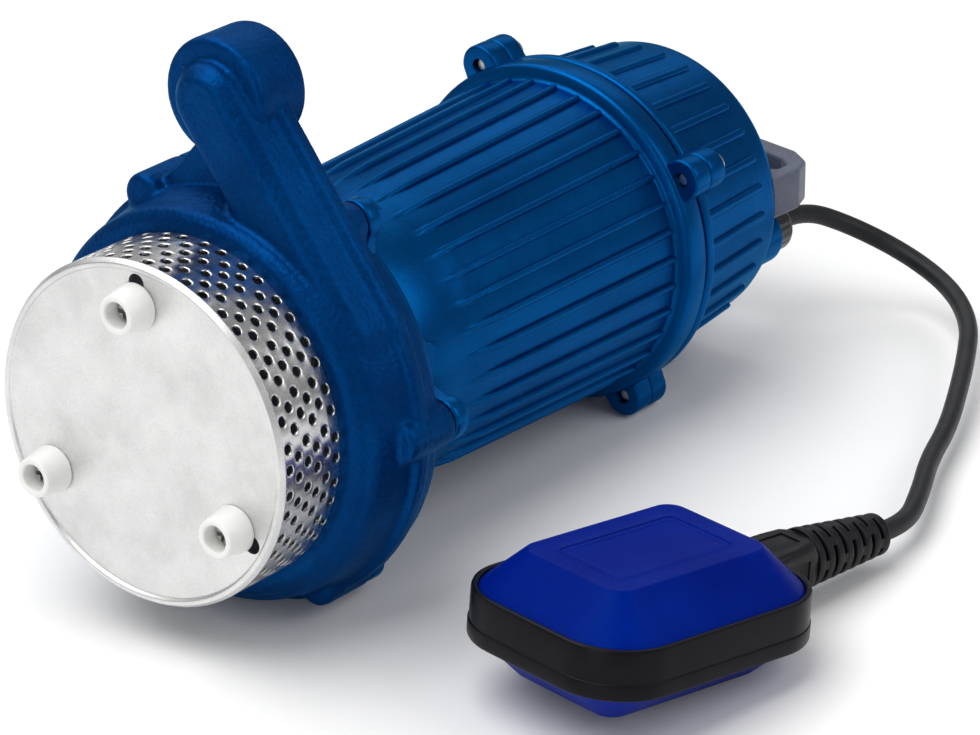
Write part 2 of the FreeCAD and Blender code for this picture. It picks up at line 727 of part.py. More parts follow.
def motor_housing():
    ring_x = JOINT_X - JOINT_RING
    flange_end = HOUSING_X + FRONT_FLANGE
    bearing_r = FRONT_BEARING_R + BEARING_FIT
    first = LUG_ANGLES[0] + 180.0 / BODY_RIB_COUNT
    flange = rod(FRONT_FLANGE_R, HOUSING_X, flange_end)
    stations = [(HOUSING_X + 1.0, NECK_R), (flange_end, NECK_R)]
    span = BULGE_X - flange_end
    for k in range(1, BULGE_STEPS + 1):
        turn = math.pi / 2.0 * k / BULGE_STEPS
        rise = (BULGE_R - NECK_R) * math.sin(turn)
        stations.append((flange_end + span * (1.0 - math.cos(turn)), NECK_R + rise))
    stations.append((BODY_START_X, BODY_START_R))
    stations += [(ring_x - JOINT_FLARE, BODY_END_R), (ring_x, JOINT_RING_R - 1.0)]
    body = faceted(BODY_RIB_COUNT, first, stations)
    ring = rod(JOINT_RING_R, ring_x, JOINT_X)
    ribs = rib_ring(BODY_START_X + 1.0, ring_x - 1.0, body_radius, BODY_RIB_PROUD, BODY_RIB_WIDTH,
                    BODY_RIB_FADE, BODY_RIB_COUNT)
    ears = around(BOLT_ANGLES, BOLT_CIRCLE_R, lambda y, z: rod(EAR_R, HOUSING_X, flange_end, y, z))
    lug_x = JOINT_X - LUG_HALF
    lugs = around(LUG_ANGLES, LUG_CIRCLE_R, lambda y, z: rod(LUG_R, lug_x, JOINT_X, y, z))
    plug_seat = spoke(OIL_BOSS_R, NECK_R - 6.0, OIL_BOSS_TOP_R, OIL_PLUG_X, OIL_PLUG_ANGLE)
    body = joined([flange, body, ring, plug_seat] + ribs + ears + lugs)
    hollow = [
        rod(OIL_CHAMBER_R, HOUSING_X - 1.0, OIL_END_X),
        rod(LIP_SEAL_R, OIL_END_X - 1.0, OIL_END_X + LIP_SEAL_WIDTH),
        rod(SHAFT_SEAL_R + RUN_GAP + 1.0, OIL_END_X - 1.0, FRONT_BEARING_X + 1.0),
        spoke(OIL_PLUG_R, NECK_R - 12.0, OIL_BOSS_TOP_R + 1.0, OIL_PLUG_X, OIL_PLUG_ANGLE),
        rod(bearing_r, FRONT_BEARING_X, SHOULDER_X + 1.0),
        rod(MOTOR_BORE_R, SHOULDER_X, BRACKET_X + 1.0),
        rod(BRACKET_SEAT_R, BRACKET_X, JOINT_X + 1.0),
    ]
    for tool in hollow:
        body = body.cut(tool)
    bolt_hole_r = CASING_BOLT_R + SCREW_CLEARANCE
    drills = around(BOLT_ANGLES, BOLT_CIRCLE_R,
                    lambda y, z: rod(bolt_hole_r, HOUSING_X - 1.0, flange_end + 1.0, y, z))
    drills += around(LUG_ANGLES, LUG_CIRCLE_R,
                     lambda y, z: rod(COVER_SCREW_R, lug_x - 1.0, JOINT_X + 1.0, y, z))
    tap_end = HOUSING_X + SMALL_SCREW_LENGTH - SEAL_PLATE + 1.0
    drills += around(plate_screw_angles(), PLATE_SCREW_CIRCLE_R,
                     lambda y, z: rod(SMALL_SCREW_R, HOUSING_X - 1.0, tap_end, y, z))
    return body.cut(Part.makeCompound(drills))


def casing_bolts():
    x_head = HOUSING_X + FRONT_FLANGE + CASING_BOLT_HEAD

    def one(y, z):
        return hex_screw(x_head, CASING_BOLT_HEAD, CASING_BOLT_FLATS, CASING_BOLT_R,
                         FRONT_FLANGE + CASING_BOLT_DEPTH, y, z, -1)

    return around(BOLT_ANGLES, BOLT_CIRCLE_R, one)


def stator_core():
    inner = ROTOR_CORE_R + RUN_GAP
    body = tube(MOTOR_BORE_R - SLIDE_GAP, inner, CORE_X, CORE_X + STATOR_LENGTH)
    x0 = CORE_X - 1.0
    x1 = CORE_X + STATOR_LENGTH + 1.0
    slot_y = inner + TOOTH_LIP
    slot = block(x0, x1, slot_y, slot_y + SLOT_DEPTH, -SLOT_WIDTH / 2.0, SLOT_WIDTH / 2.0)
    cut = slot.fuse(block(x0, x1, inner - 2.0, slot_y + 1.0, -1.5, 1.5))
    slots = [turned_to(cut, 360.0 / STATOR_SLOTS * k) for k in range(STATOR_SLOTS)]
    return body.cut(Part.makeCompound(slots))


def stator_winding():
    low = ROTOR_CORE_R + RUN_GAP + TOOTH_LIP + COIL_GAP
    high = low + SLOT_DEPTH - 2.0 * COIL_GAP
    half = SLOT_WIDTH / 2.0 - COIL_GAP
    front = CORE_X - COIL_GAP
    rear = CORE_X + STATOR_LENGTH + COIL_GAP
    heads = []
    for x0, x1 in ((front - COIL_OVERHANG, front), (rear, rear + COIL_OVERHANG)):
        heads.append(tube(high + 2.0, low, x0, x1))
    bar = block(front - 1.0, rear + 1.0, low, high, -half, half)
    bars = [turned_to(bar, 360.0 / STATOR_SLOTS * k) for k in range(STATOR_SLOTS)]
    return joined(heads + bars)


def shaft():
    core_end = CORE_X + STATOR_LENGTH + 8.0
    end_x = REAR_BEARING_X + REAR_BEARING_WIDTH + 2.0
    body = turned([
        (NOSE_X, 0.0), (NOSE_X, SHAFT_NOSE_R - 0.8), (NOSE_X + 0.8, SHAFT_NOSE_R), (HUB_X, SHAFT_NOSE_R),
        (HUB_X, SHAFT_HUB_R), (IMPELLER_BACK_X, SHAFT_HUB_R), (IMPELLER_BACK_X, SHAFT_SEAL_R),
        (FRONT_BEARING_X, SHAFT_SEAL_R), (FRONT_BEARING_X, SHAFT_FRONT_BEARING_R),
        (SHOULDER_X, SHAFT_FRONT_BEARING_R), (SHOULDER_X, SHAFT_CORE_R), (core_end, SHAFT_CORE_R),
        (core_end, SHAFT_CORE_R - 1.5), (REAR_BEARING_X, SHAFT_CORE_R - 1.5),
        (REAR_BEARING_X, SHAFT_REAR_BEARING_R), (end_x, SHAFT_REAR_BEARING_R), (end_x, 0.0),
    ])
    return body.cut(key_slot(0.0))


def key_slot(slack):
    """room for the impeller key, or the key itself with no slack"""
    mid = (HUB_X + IMPELLER_BACK_X) / 2.0
    half = KEY_LENGTH / 2.0 + slack
    wide = KEY_WIDTH / 2.0
    return block(mid - half, mid + half, SHAFT_HUB_R - wide, SHAFT_HUB_R + wide + slack, -wide, wide)


def impeller():
    front = IMPELLER_FRONT_X
    shroud_x = IMPELLER_BACK_X - IMPELLER_SHROUD
    disc = rod(IMPELLER_R, shroud_x, IMPELLER_BACK_X)
    hub = rod(IMPELLER_HUB_R, HUB_X, IMPELLER_BACK_X)
    start = V(front, IMPELLER_HUB_R - 1.0, 0)
    reach = IMPELLER_R - 0.5
    y_end, z_end = polar(reach, 55.0)
    y_mid, z_mid = polar(VANE_BEND_R, 18.0)
    outer = Part.Arc(start, V(front, y_mid, z_mid), V(front, y_end, z_end))
    y_low, z_low = polar(reach, 55.0 - math.degrees(VANE_THICKNESS / reach))
    y_in, z_in = polar(VANE_BEND_R, 18.0 - math.degrees(VANE_THICKNESS / VANE_BEND_R))
    back = V(front, IMPELLER_HUB_R - 1.0, -VANE_THICKNESS)
    inner = Part.Arc(V(front, y_low, z_low), V(front, y_in, z_in), back)
    edges = [outer.toShape(), Part.makeLine(V(front, y_end, z_end), V(front, y_low, z_low)),
             inner.toShape(), Part.makeLine(back, start)]
    vane = Part.Face(Part.Wire(edges)).extrude(V(VANE_HEIGHT + 1.0, 0, 0))
    vanes = [turned_to(vane, 360.0 / VANE_COUNT * k) for k in range(VANE_COUNT)]
    body = joined([disc, hub] + vanes)
    return body.cut(rod(SHAFT_HUB_R + BEARING_FIT, front - 20.0, IMPELLER_BACK_X + 1.0)).cut(key_slot(0.0))


def impeller_key():
    return key_slot(0.0)


def impeller_nut():
    body = hexagon(NUT_FLATS, NUT_X, HUB_X)
    return body.cut(rod(SHAFT_NOSE_R, NUT_X - 1.0, HUB_X + 1.0))


def rotor_core():
    body = tube(ROTOR_CORE_R, SHAFT_CORE_R, CORE_X, CORE_X + ROTOR_CORE_LENGTH)
    ring_r = ROTOR_CORE_R - 2.0
    front = tube(ring_r, ring_r - 7.0, CORE_X - END_RING, CORE_X)
    rear_x = CORE_X + ROTOR_CORE_LENGTH
    rear = tube(ring_r, ring_r - 7.0, rear_x, rear_x + END_RING)
    return joined([body, front, rear])


def bearing_outer_rings():
    return [tube(outer_r, outer_r - BEARING_RACE, x0, x0 + width) for outer_r, bore_r, x0, width in BEARINGS]


def bearing_inner_rings():
    return [tube(bore_r + BEARING_RACE, bore_r + BEARING_FIT, x0, x0 + width)
            for outer_r, bore_r, x0, width in BEARINGS]


def bearing_shields():
    """one ring between the races of each bearing, where its balls run"""
    shapes = []
    for outer_r, bore_r, x0, width in BEARINGS:
        mid = x0 + width / 2.0
        shapes.append(tube(outer_r - BEARING_RACE, bore_r + BEARING_RACE + RUN_GAP, mid - 1.0, mid + 1.0))
    return shapes


def bearing_bracket():
    hub_end = REAR_BEARING_X + REAR_BEARING_WIDTH
    plate_r = BRACKET_SEAT_R - SLIDE_GAP
    seat = REAR_BEARING_R + BEARING_FIT
    body = turned([
        (BRACKET_X, SHAFT_CORE_R + 1.0), (BRACKET_X, plate_r), (BRACKET_X + BRACKET, plate_r),
        (BRACKET_X + BRACKET, BRACKET_HUB_R + 2.0), (BRACKET_X + BRACKET + 2.0, BRACKET_HUB_R),
        (hub_end, BRACKET_HUB_R), (hub_end, seat), (REAR_BEARING_X, seat),
        (REAR_BEARING_X, SHAFT_CORE_R + 1.0),
    ])
    vents = around(VENT_ANGLES, VENT_CIRCLE_R, lambda y, z: rod(VENT_R, BRACKET_X - 1.0, JOINT_X, y, z))
    return body.cut(Part.makeCompound(vents))


def cover_radius(x):
    """outer radius of the tapered top cover at one station"""
    share = (x - JOINT_X - COVER_LIP) / (COVER_LENGTH - COVER_LIP - COVER_ROUND)
    return COVER_START_R + (COVER_END_R - COVER_START_R) * share


def top_cover():
    first = LUG_ANGLES[0] + 180.0 / COVER_RIB_COUNT
    lip_end = JOINT_X + COVER_LIP
    round_x = COVER_END_X - COVER_ROUND
    lip = rod(COVER_LIP_R, JOINT_X, lip_end)
    body = faceted(COVER_RIB_COUNT, first, [
        (lip_end - 1.0, COVER_START_R), (round_x, COVER_END_R),
        (COVER_END_X - COVER_ROUND * 0.3, COVER_END_R - COVER_ROUND * 0.3),
        (COVER_END_X, COVER_END_R - COVER_ROUND),
    ])
    x0 = lip_end - 0.4
    x1 = COVER_END_X - COVER_RIB_MARGIN
    outline = [
        (x0, cover_radius(x0) - 1.0), (x0, cover_radius(x0) + COVER_RIB_PROUD),
        (x1 - 5.0, cover_radius(x1 - 5.0) + COVER_RIB_PROUD), (x1, cover_radius(x1) - 0.4),
        (x1, cover_radius(x1) - 1.4),
    ]
    one = prism([V(x, y, -COVER_RIB_WIDTH / 2.0) for x, y in outline], V(0, 0, COVER_RIB_WIDTH))
    ribs = [turned_to(one, first + 360.0 / COVER_RIB_COUNT * k) for k in range(COVER_RIB_COUNT)]
    lug_end = JOINT_X + LUG_HALF

    def lug(y, z):
        shank = rod(LUG_R, JOINT_X, lug_end - LUG_ROUND, y, z)
        return shank.fuse(cone(LUG_R, LUG_R - LUG_ROUND, lug_end - LUG_ROUND, lug_end, y, z))

    spigot = rod(BRACKET_SEAT_R - SLIDE_GAP, JOINT_X - SPIGOT_LENGTH, JOINT_X + 1.0)
    body = joined([lip, body, spigot] + gland_bosses() + ribs + around(LUG_ANGLES, LUG_CIRCLE_R, lug))
    hollow = gland_bores()
    inner_r = cover_radius(COVER_INNER_X) - COVER_WALL
    hollow.append(rod(inner_r, JOINT_X - SPIGOT_LENGTH - 1.0, COVER_INNER_X))
    hollow.append(tube(COVER_GASKET_R, COVER_GASKET_R - GASKET_WIDTH, JOINT_X - 1.0, JOINT_X + GASKET))
    strap_end = COVER_INNER_X + STRAP_SCREW_DEPTH
    for offset in strap_screw_offsets():
        hollow.append(rod(STRAP_SCREW_R, COVER_INNER_X - 1.0, strap_end, 0.0, CAPACITOR_Z + offset))
    for side in (-1, 1):
        y = side * handle_leg_mid()
        hollow.append(rod(COVER_SCREW_R, COVER_INNER_X + 1.0, COVER_END_X + 1.0, y, HANDLE_Z))
    hollow += around(LUG_ANGLES, LUG_CIRCLE_R,
                     lambda y, z: rod(COVER_SCREW_R + SCREW_CLEARANCE, JOINT_X - 1.0, lug_end + 1.0, y, z))
    for tool in hollow:
        body = body.cut(tool)
    return body


def cover_screws():
    x_head = JOINT_X + LUG_HALF + COVER_SCREW_HEAD
    length = 2.0 * LUG_HALF - 2.0

    def one(y, z):
        return screw(x_head, COVER_SCREW_HEAD, COVER_SCREW_HEAD_R, COVER_SCREW_R, length, y, z, -1)

    return around(LUG_ANGLES, LUG_CIRCLE_R, one)


def handle_leg_mid():
    return HANDLE_REACH - HANDLE_THICKNESS / 2.0 - 1.0


def carry_handle():
    foot_x = COVER_END_X
    z0 = HANDLE_Z - HANDLE_WIDTH / 2.0
    outer = [(-HANDLE_REACH, 0.0), (-HANDLE_REACH, HANDLE_LEG_HEIGHT - 5.0),
             (-HANDLE_REACH + 5.0, HANDLE_LEG_HEIGHT)]
    peak = HANDLE_PEAK
    outer += [(-HANDLE_REACH * 0.45, peak - 2.0), (0.0, peak)]
    right = [(-y, x) for y, x in reversed(outer[:-1])]
    inner_reach = HANDLE_REACH - HANDLE_THICKNESS - 1.0
    inner = [(inner_reach, 0.0), (inner_reach, HANDLE_LEG_HEIGHT - 13.0),
             (inner_reach - 6.0, HANDLE_LEG_HEIGHT - 7.5),
             (HANDLE_REACH * 0.42, peak - HANDLE_THICKNESS - 2.0), (0.0, peak - HANDLE_THICKNESS)]
    left = [(-y, x) for y, x in reversed(inner[:-1])]
    points = [V(foot_x + x, y, z0) for y, x in outer + right + inner + left]
    body = prism(points, V(0, 0, HANDLE_WIDTH))
    for side in (-1, 1):
        y = side * handle_leg_mid()
        body = body.cut(rod(COVER_SCREW_R + SCREW_CLEARANCE, foot_x - 1.0, foot_x + HANDLE_PEAK, y, HANDLE_Z))
        body = body.cut(rod(HANDLE_SCREW_HEAD_R, foot_x + HANDLE_SEAT, foot_x + HANDLE_PEAK, y, HANDLE_Z))
    nut_x = foot_x + GLAND_BOSS
    for y, z in gland_places():
        body = body.cut(rod(GLAND_BOSS_R + SLIDE_GAP, foot_x - 1.0, nut_x + SLIDE_GAP, y, z))
        body = body.cut(rod(GLAND_NUT_R + SLIDE_GAP, foot_x, nut_x + GLAND_NUT + SLIDE_GAP, y, z))
    return body


def handle_screws():
    shapes = []
    for side in (-1, 1):
        y = side * handle_leg_mid()
        head_x = COVER_END_X + HANDLE_SEAT + SMALL_HEAD
        length = HANDLE_SEAT + COVER_END_WALL - 1.5
        shapes.append(screw(head_x, SMALL_HEAD, SMALL_HEAD_R, COVER_SCREW_R, length, y, HANDLE_Z, -1))
    return shapes


def cover_gasket():
    return tube(COVER_GASKET_R, COVER_GASKET_R - GASKET_WIDTH, JOINT_X, JOINT_X + GASKET)


def oil_plug():
    shank = spoke(OIL_PLUG_R, NECK_R - 4.0, OIL_BOSS_TOP_R, OIL_PLUG_X, OIL_PLUG_ANGLE)
    top = OIL_BOSS_TOP_R + OIL_PLUG_HEAD
    head = spoke(OIL_PLUG_HEAD_R, OIL_BOSS_TOP_R, top, OIL_PLUG_X, OIL_PLUG_ANGLE)
    return joined([shank, head])


def lip_seal():
    return tube(LIP_SEAL_R, SHAFT_SEAL_R + LIP_SEAL_FIT, OIL_END_X, OIL_END_X + LIP_SEAL_WIDTH)


def seal_retaining_ring():
    x0 = SEAL_FACE_X + FACE_GAP + SEAL_HEAD + SEAL_BELLOWS
    return tube(SEAL_HEAD_R - 1.0, SHAFT_SEAL_R + BEARING_FIT, x0, x0 + RETAINING_RING)


def capacitor():
    x = COVER_INNER_X - CAPACITOR_R - SLIDE_GAP
    half = CAPACITOR_LENGTH / 2.0
    return Part.makeCylinder(CAPACITOR_R, CAPACITOR_LENGTH, V(x, -half, CAPACITOR_Z), V(0, 1, 0))


def capacitor_strap():
    x = COVER_INNER_X - CAPACITOR_R - SLIDE_GAP
    half = STRAP_WIDTH / 2.0
    inner = CAPACITOR_R + SLIDE_GAP
    outer = inner + STRAP_THICKNESS
    start = V(x, -half, CAPACITOR_Z)
    y_dir = V(0, 1, 0)
    arch = Part.makeCylinder(outer, STRAP_WIDTH, start, y_dir)
    z = CAPACITOR_Z
    legs = block(x, COVER_INNER_X, -half, half, z - outer, z + outer)
    feet = block(COVER_INNER_X - STRAP_THICKNESS, COVER_INNER_X, -half, half, z - outer - STRAP_FOOT,
                 z + outer + STRAP_FOOT)
    body = joined([arch, legs, feet])
    body = body.cut(Part.makeCylinder(inner, STRAP_WIDTH, start, y_dir))
    body = body.cut(block(x, COVER_INNER_X + outer, -half, half, z - inner, z + inner))
    hole_r = STRAP_SCREW_R + SCREW_CLEARANCE
    holes = [rod(hole_r, COVER_INNER_X - 5.0, COVER_INNER_X + 1.0, 0.0, z + offset)
             for offset in strap_screw_offsets()]
    return body.cut(Part.makeCompound(holes))


def strap_screw_offsets():
    reach = CAPACITOR_R + SLIDE_GAP + STRAP_THICKNESS + STRAP_FOOT / 2.0
    return -reach, reach


def strap_screws():
    x_head = COVER_INNER_X - STRAP_THICKNESS - STRAP_SCREW_HEAD
    length = STRAP_THICKNESS + STRAP_SCREW_DEPTH
    return [screw(x_head, STRAP_SCREW_HEAD, STRAP_SCREW_HEAD_R, STRAP_SCREW_R, length,
                  0.0, CAPACITOR_Z + offset, 1) for offset in strap_screw_offsets()]


def gland_places():
    """the float cord's gland, then the one for the supply lead"""
    return (GLAND_Y, GLAND_Z), (-GLAND_Y, GLAND_Z)


def gland_nuts():
    x0 = COVER_END_X + GLAND_BOSS
    shapes = []
    for y, z in gland_places():
        body = rod(GLAND_NUT_R, x0, x0 + GLAND_NUT, y, z)
        body = body.cut(rod(GLAND_STUB_R, x0 - 1.0, x0 + GLAND_STUB, y, z))
        shapes.append(body.cut(rod(GLAND_SLEEVE_R, x0, x0 + GLAND_NUT + 1.0, y, z)))
    return shapes


def cord_grommets():
    x0 = COVER_END_X + GLAND_BOSS - GROMMET_DEPTH
    x1 = COVER_END_X + GLAND_BOSS + GLAND_NUT + GLAND_SLEEVE
    return [tube(GLAND_SLEEVE_R, CORE_BORE_R, x0, x1, y, z) for y, z in gland_places()]


def gland_bosses():
    x0 = COVER_END_X + GLAND_BOSS
    shapes = []
    for y, z in gland_places():
        shapes.append(rod(GLAND_BOSS_R, COVER_END_X - 2.0, x0, y, z))
        shapes.append(rod(GLAND_STUB_R, x0 - 2.0, x0 + GLAND_STUB, y, z))
    return shapes


def gland_bores():
    x0 = COVER_END_X + GLAND_BOSS
    shapes = []
    for y, z in gland_places():
        shapes.append(rod(CORE_BORE_R, COVER_INNER_X - 1.0, x0, y, z))
        shapes.append(rod(GLAND_SLEEVE_R, x0 - GROMMET_DEPTH, x0 + GLAND_STUB + 1.0, y, z))
    return shapes


def rounded_outline(length, width, corner, z):
    """closed wire of a rectangle with round corners, centred on the float's own axis"""
    edges = []
    mid_x = length / 2.0 - corner
    mid_y = width / 2.0 - corner
    half_turn = math.sqrt(0.5) * corner
    for sx, sy in ((1, 1), (-1, 1), (-1, -1), (1, -1)):
        along = V(sx * (mid_x + corner), sy * mid_y, z)
        across = V(sx * mid_x, sy * (mid_y + corner), z)
        middle = V(sx * (mid_x + half_turn), sy * (mid_y + half_turn), z)
        first, last = (along, across) if sx * sy > 0 else (across, along)
        if edges:
            edges.append(Part.makeLine(edges[-1].Vertexes[-1].Point, first))
        edges.append(Part.Arc(first, middle, last).toShape())
    edges.append(Part.makeLine(edges[-1].Vertexes[-1].Point, edges[0].Vertexes[0].Point))
    return Part.Wire(edges)


def slab(inset, z0, z1):
    """upright plate with the float's outline moved inward"""
    wire = rounded_outline(FLOAT_LENGTH - 2.0 * inset, FLOAT_WIDTH - 2.0 * inset, FLOAT_CORNER_R - inset, z0)
    return Part.Face(wire).extrude(V(0, 0, z1 - z0))


def shell_solid(inset, rim_z, top_z, plateau_inset):
    """upright skirt, then a roof that slopes at the same angle all round up to the plateau"""
    corner = FLOAT_CORNER_R - inset
    mid_x = FLOAT_LENGTH / 2.0 - FLOAT_CORNER_R
    mid_y = FLOAT_WIDTH / 2.0 - FLOAT_CORNER_R
    top_corner = PLATEAU_CORNER_R - plateau_inset
    roof = []
    for sx in (-1, 1):
        for sy in (-1, 1):
            roof.append(Part.makeCone(corner, top_corner, top_z - rim_z, V(sx * mid_x, sy * mid_y, rim_z)))
    across = [(-mid_y - corner, rim_z), (mid_y + corner, rim_z), (mid_y + top_corner, top_z),
              (-mid_y - top_corner, top_z)]
    roof.append(prism([V(-mid_x, y, z) for y, z in across], V(2.0 * mid_x, 0, 0)))
    along = [(-mid_x - corner, rim_z), (mid_x + corner, rim_z), (mid_x + top_corner, top_z),
             (-mid_x - top_corner, top_z)]
    roof.append(prism([V(x, -mid_y, z) for x, z in along], V(0, 2.0 * mid_y, 0)))
    return joined([slab(inset, 0.0, rim_z)] + roof)


def boot_hole(radius):
    return rod(radius, FLOAT_LENGTH / 2.0 - BOOT_ROOT - 1.0, FLOAT_LENGTH)


def float_upper_shell():
    inset = SHELL_RIM_INSET + SLIDE_GAP
    body = shell_solid(inset, SHELL_RIM_Z, SHELL_HALF, 0.0)
    wall = inset + SHELL_WALL
    body = body.cut(shell_solid(wall, SHELL_RIM_Z, SHELL_HALF - SHELL_WALL, SHELL_WALL))
    return body.cut(boot_hole(BOOT_ROOT_R))


def float_lower_shell():
    body = float_upper_shell()
    body.rotate(V(0, 0, 0), X_DIR, 180)
    return body


def float_band():
    low = slab(0.0, -BAND_HALF, BAND_STEP_Z)
    high = slab(BAND_STEP, BAND_STEP_Z, BAND_HALF)
    body = low.fuse(high).cut(slab(SHELL_RIM_INSET, -BAND_HALF - 1.0, BAND_HALF + 1.0))
    return body.cut(boot_hole(BOOT_ROOT_R))


def float_boot():
    """rubber boot with a plain collar and a grooved tail, cord end outward"""
    face = FLOAT_LENGTH / 2.0
    end = face + BOOT_LENGTH
    tail = face + BOOT_COLLAR
    pitch = (end - tail) / BOOT_RIBS
    points = [
        (face - BOOT_ROOT, 0.0), (face - BOOT_ROOT, BOOT_ROOT_R), (face + SLIDE_GAP, BOOT_ROOT_R),
        (face + SLIDE_GAP, BOOT_COLLAR_R - 1.5), (tail, BOOT_COLLAR_R - 1.5),
    ]
    for k in range(BOOT_RIBS):
        x = tail + pitch * k
        outer = BOOT_COLLAR_R + (BOOT_END_R - BOOT_COLLAR_R) * k / (BOOT_RIBS - 1.0)
        points += [(x, outer), (x + pitch - BOOT_SLIT, outer)]
        if k < BOOT_RIBS - 1:
            points += [(x + pitch - BOOT_SLIT, outer - BOOT_GROOVE), (x + pitch, outer - BOOT_GROOVE)]
    points[-1] = (end, BOOT_END_R)
    points.append((end, 0.0))
    return turned(points)


def track_floor_z():
    return WEIGHT_Z - WEIGHT_R - RUN_GAP


def weight_track():
    """channel in which the switch weight rolls"""
    x0 = WEIGHT_X - WEIGHT_TRAVEL - WEIGHT_R - RUN_GAP - TRACK_WALL
    x1 = WEIGHT_X + WEIGHT_R + RUN_GAP + TRACK_WALL
    half = WEIGHT_WIDTH / 2.0 + RUN_GAP + TRACK_WALL
    bottom = -SHELL_HALF + SHELL_WALL
    body = block(x0, x1, -half, half, bottom, WEIGHT_Z)
    inner = half - TRACK_WALL
    return body.cut(block(x0 + TRACK_WALL, x1 - TRACK_WALL, -inner, inner, track_floor_z(), WEIGHT_Z + 1.0))


def switch_weight():
    half = WEIGHT_WIDTH / 2.0
    return Part.makeCylinder(WEIGHT_R, WEIGHT_WIDTH, V(WEIGHT_X, -half, WEIGHT_Z), V(0, 1, 0))


def switch_bottom_z():
    return SHELL_HALF - SHELL_WALL - SWITCH_HEIGHT


def microswitch():
    z0 = switch_bottom_z()
    half = SWITCH_WIDTH / 2.0
    pin = lever_pivot()
    x0 = pin.x - EAR_HALF
    x1 = pin.x + EAR_HALF
    pieces = [block(SWITCH_X, SWITCH_X + SWITCH_LENGTH, -half, half, z0, z0 + SWITCH_HEIGHT)]
    for y in (-half, half - EAR_THICKNESS):
        pieces.append(block(x0, x1, y, y + EAR_THICKNESS, pin.z - EAR_HALF, z0 + 1.0))
    pin_r = LEVER_PIN_R + PIVOT_FIT
    pin_hole = Part.makeCylinder(pin_r, SWITCH_WIDTH, V(pin.x, -half, pin.z), V(0, 1, 0))
    button_hole = Part.makeCylinder(BUTTON_R + PIVOT_FIT, BUTTON_HOLE, V(button_x(), 0, z0 - 0.01))
    return joined(pieces).cut(pin_hole).cut(button_hole)


def lever_pivot():
    return V(SWITCH_X + LEVER_HINGE_X, 0, switch_bottom_z() - LEVER_HINGE_DROP)


def button_x():
    return lever_pivot().x + BUTTON_ARM


def lever_drop(x):
    """height of the lever's middle below its pivot at one place along the float"""
    return (x - lever_pivot().x) * math.tan(math.radians(LEVER_SLOPE))


def switch_lever():
    """flat spring strip on the pin that turns in the ears"""
    half = SWITCH_WIDTH / 2.0 - EAR_THICKNESS - RUN_GAP
    arm = block(0.0, LEVER_LENGTH, -half, half, -LEVER_THICKNESS / 2.0, LEVER_THICKNESS / 2.0)
    pin = Part.makeCylinder(LEVER_PIN_R, SWITCH_WIDTH, V(0, -SWITCH_WIDTH / 2.0, 0), V(0, 1, 0))
    arm = joined([arm, pin])
    arm.rotate(V(0, 0, 0), V(0, 1, 0), LEVER_SLOPE)
    arm.translate(lever_pivot())
    return arm


def switch_button():
    slope = math.tan(math.radians(LEVER_SLOPE))
    low = lever_pivot().z - lever_drop(button_x()) + LEVER_THICKNESS / 2.0 + BUTTON_R * slope + RUN_GAP
    top = switch_bottom_z() + BUTTON_HOLE - RUN_GAP - 0.2
    return Part.makeCylinder(BUTTON_R, top - low, V(button_x(), 0, low))


def rest_tilt():
    """turn about Y and lift that put the scroll's rear edge and the lowest cover lug on the floor"""
    scroll_x = SCROLL_END_X - SCROLL_REAR_ROUND
    scroll_z = polar(SCROLL_OFFSET, SCROLL_OFFSET_ANGLE)[1] - SCROLL_R
    lug_x = JOINT_X + LUG_HALF - LUG_ROUND
    lug_z = min(polar(LUG_CIRCLE_R, angle)[1] for angle in LUG_ANGLES) - LUG_R
    tilt = math.atan2(lug_z - scroll_z, lug_x - scroll_x)
    lift = scroll_x * math.sin(tilt) - scroll_z * math.cos(tilt)
    return math.degrees(tilt), lift


def laid(shape):
    """shape of the pump's own frame as it lies on the floor"""
    tilt, lift = rest_tilt()
    copy = shape.copy()
    copy.rotate(V(0, 0, 0), V(0, 1, 0), tilt)
    copy.translate(V(0, 0, lift))
    return copy


def laid_point(x, y, z):
    tilt, lift = rest_tilt()
    turn = math.radians(tilt)
    return V(x * math.cos(turn) + z * math.sin(turn), y, z * math.cos(turn) - x * math.sin(turn) + lift)


def laid_axis():
    turn = math.radians(rest_tilt()[0])
    return V(math.cos(turn), 0, -math.sin(turn))


def float_height():
    """height of the float's middle when the edge of its lower plateau touches the floor"""
    pitch = math.radians(FLOAT_PITCH)
    reach = FLOAT_LENGTH / 2.0 - FLOAT_CORNER_R + PLATEAU_CORNER_R
    return SHELL_HALF * math.cos(pitch) + reach * math.sin(pitch)


def float_placement():
    turn = FreeCAD.Rotation(V(0, 0, 1), FLOAT_YAW).multiply(FreeCAD.Rotation(V(0, 1, 0), FLOAT_PITCH))
    return FreeCAD.Placement(V(FLOAT_X, FLOAT_Y, float_height()), turn)


def afloat(shape):
    """shape of the float's own frame where the float lies"""
    copy = shape.copy()
    copy.Placement = float_placement().multiply(copy.Placement)
    return copy


def boot_end():
    """end point of the boot and the direction in which the cord leaves it"""
    place = float_placement()
    point = place.multVec(V(FLOAT_LENGTH / 2.0 + BOOT_LENGTH, 0, 0))
    return point, place.Rotation.multVec(X_DIR)


def cord_points():
    """corners of the cord's route from the gland to the float"""
    start = laid_point(COVER_END_X + GLAND_BOSS + GLAND_NUT + GLAND_SLEEVE, GLAND_Y, GLAND_Z)
    end, heading = boot_end()
    middle = [V(*point) for point in CORD_ROUTE]
    return [start, start + laid_axis() * CORD_FIRST_RUN] + middle + [end + heading * CORD_LAST_RUN, end]


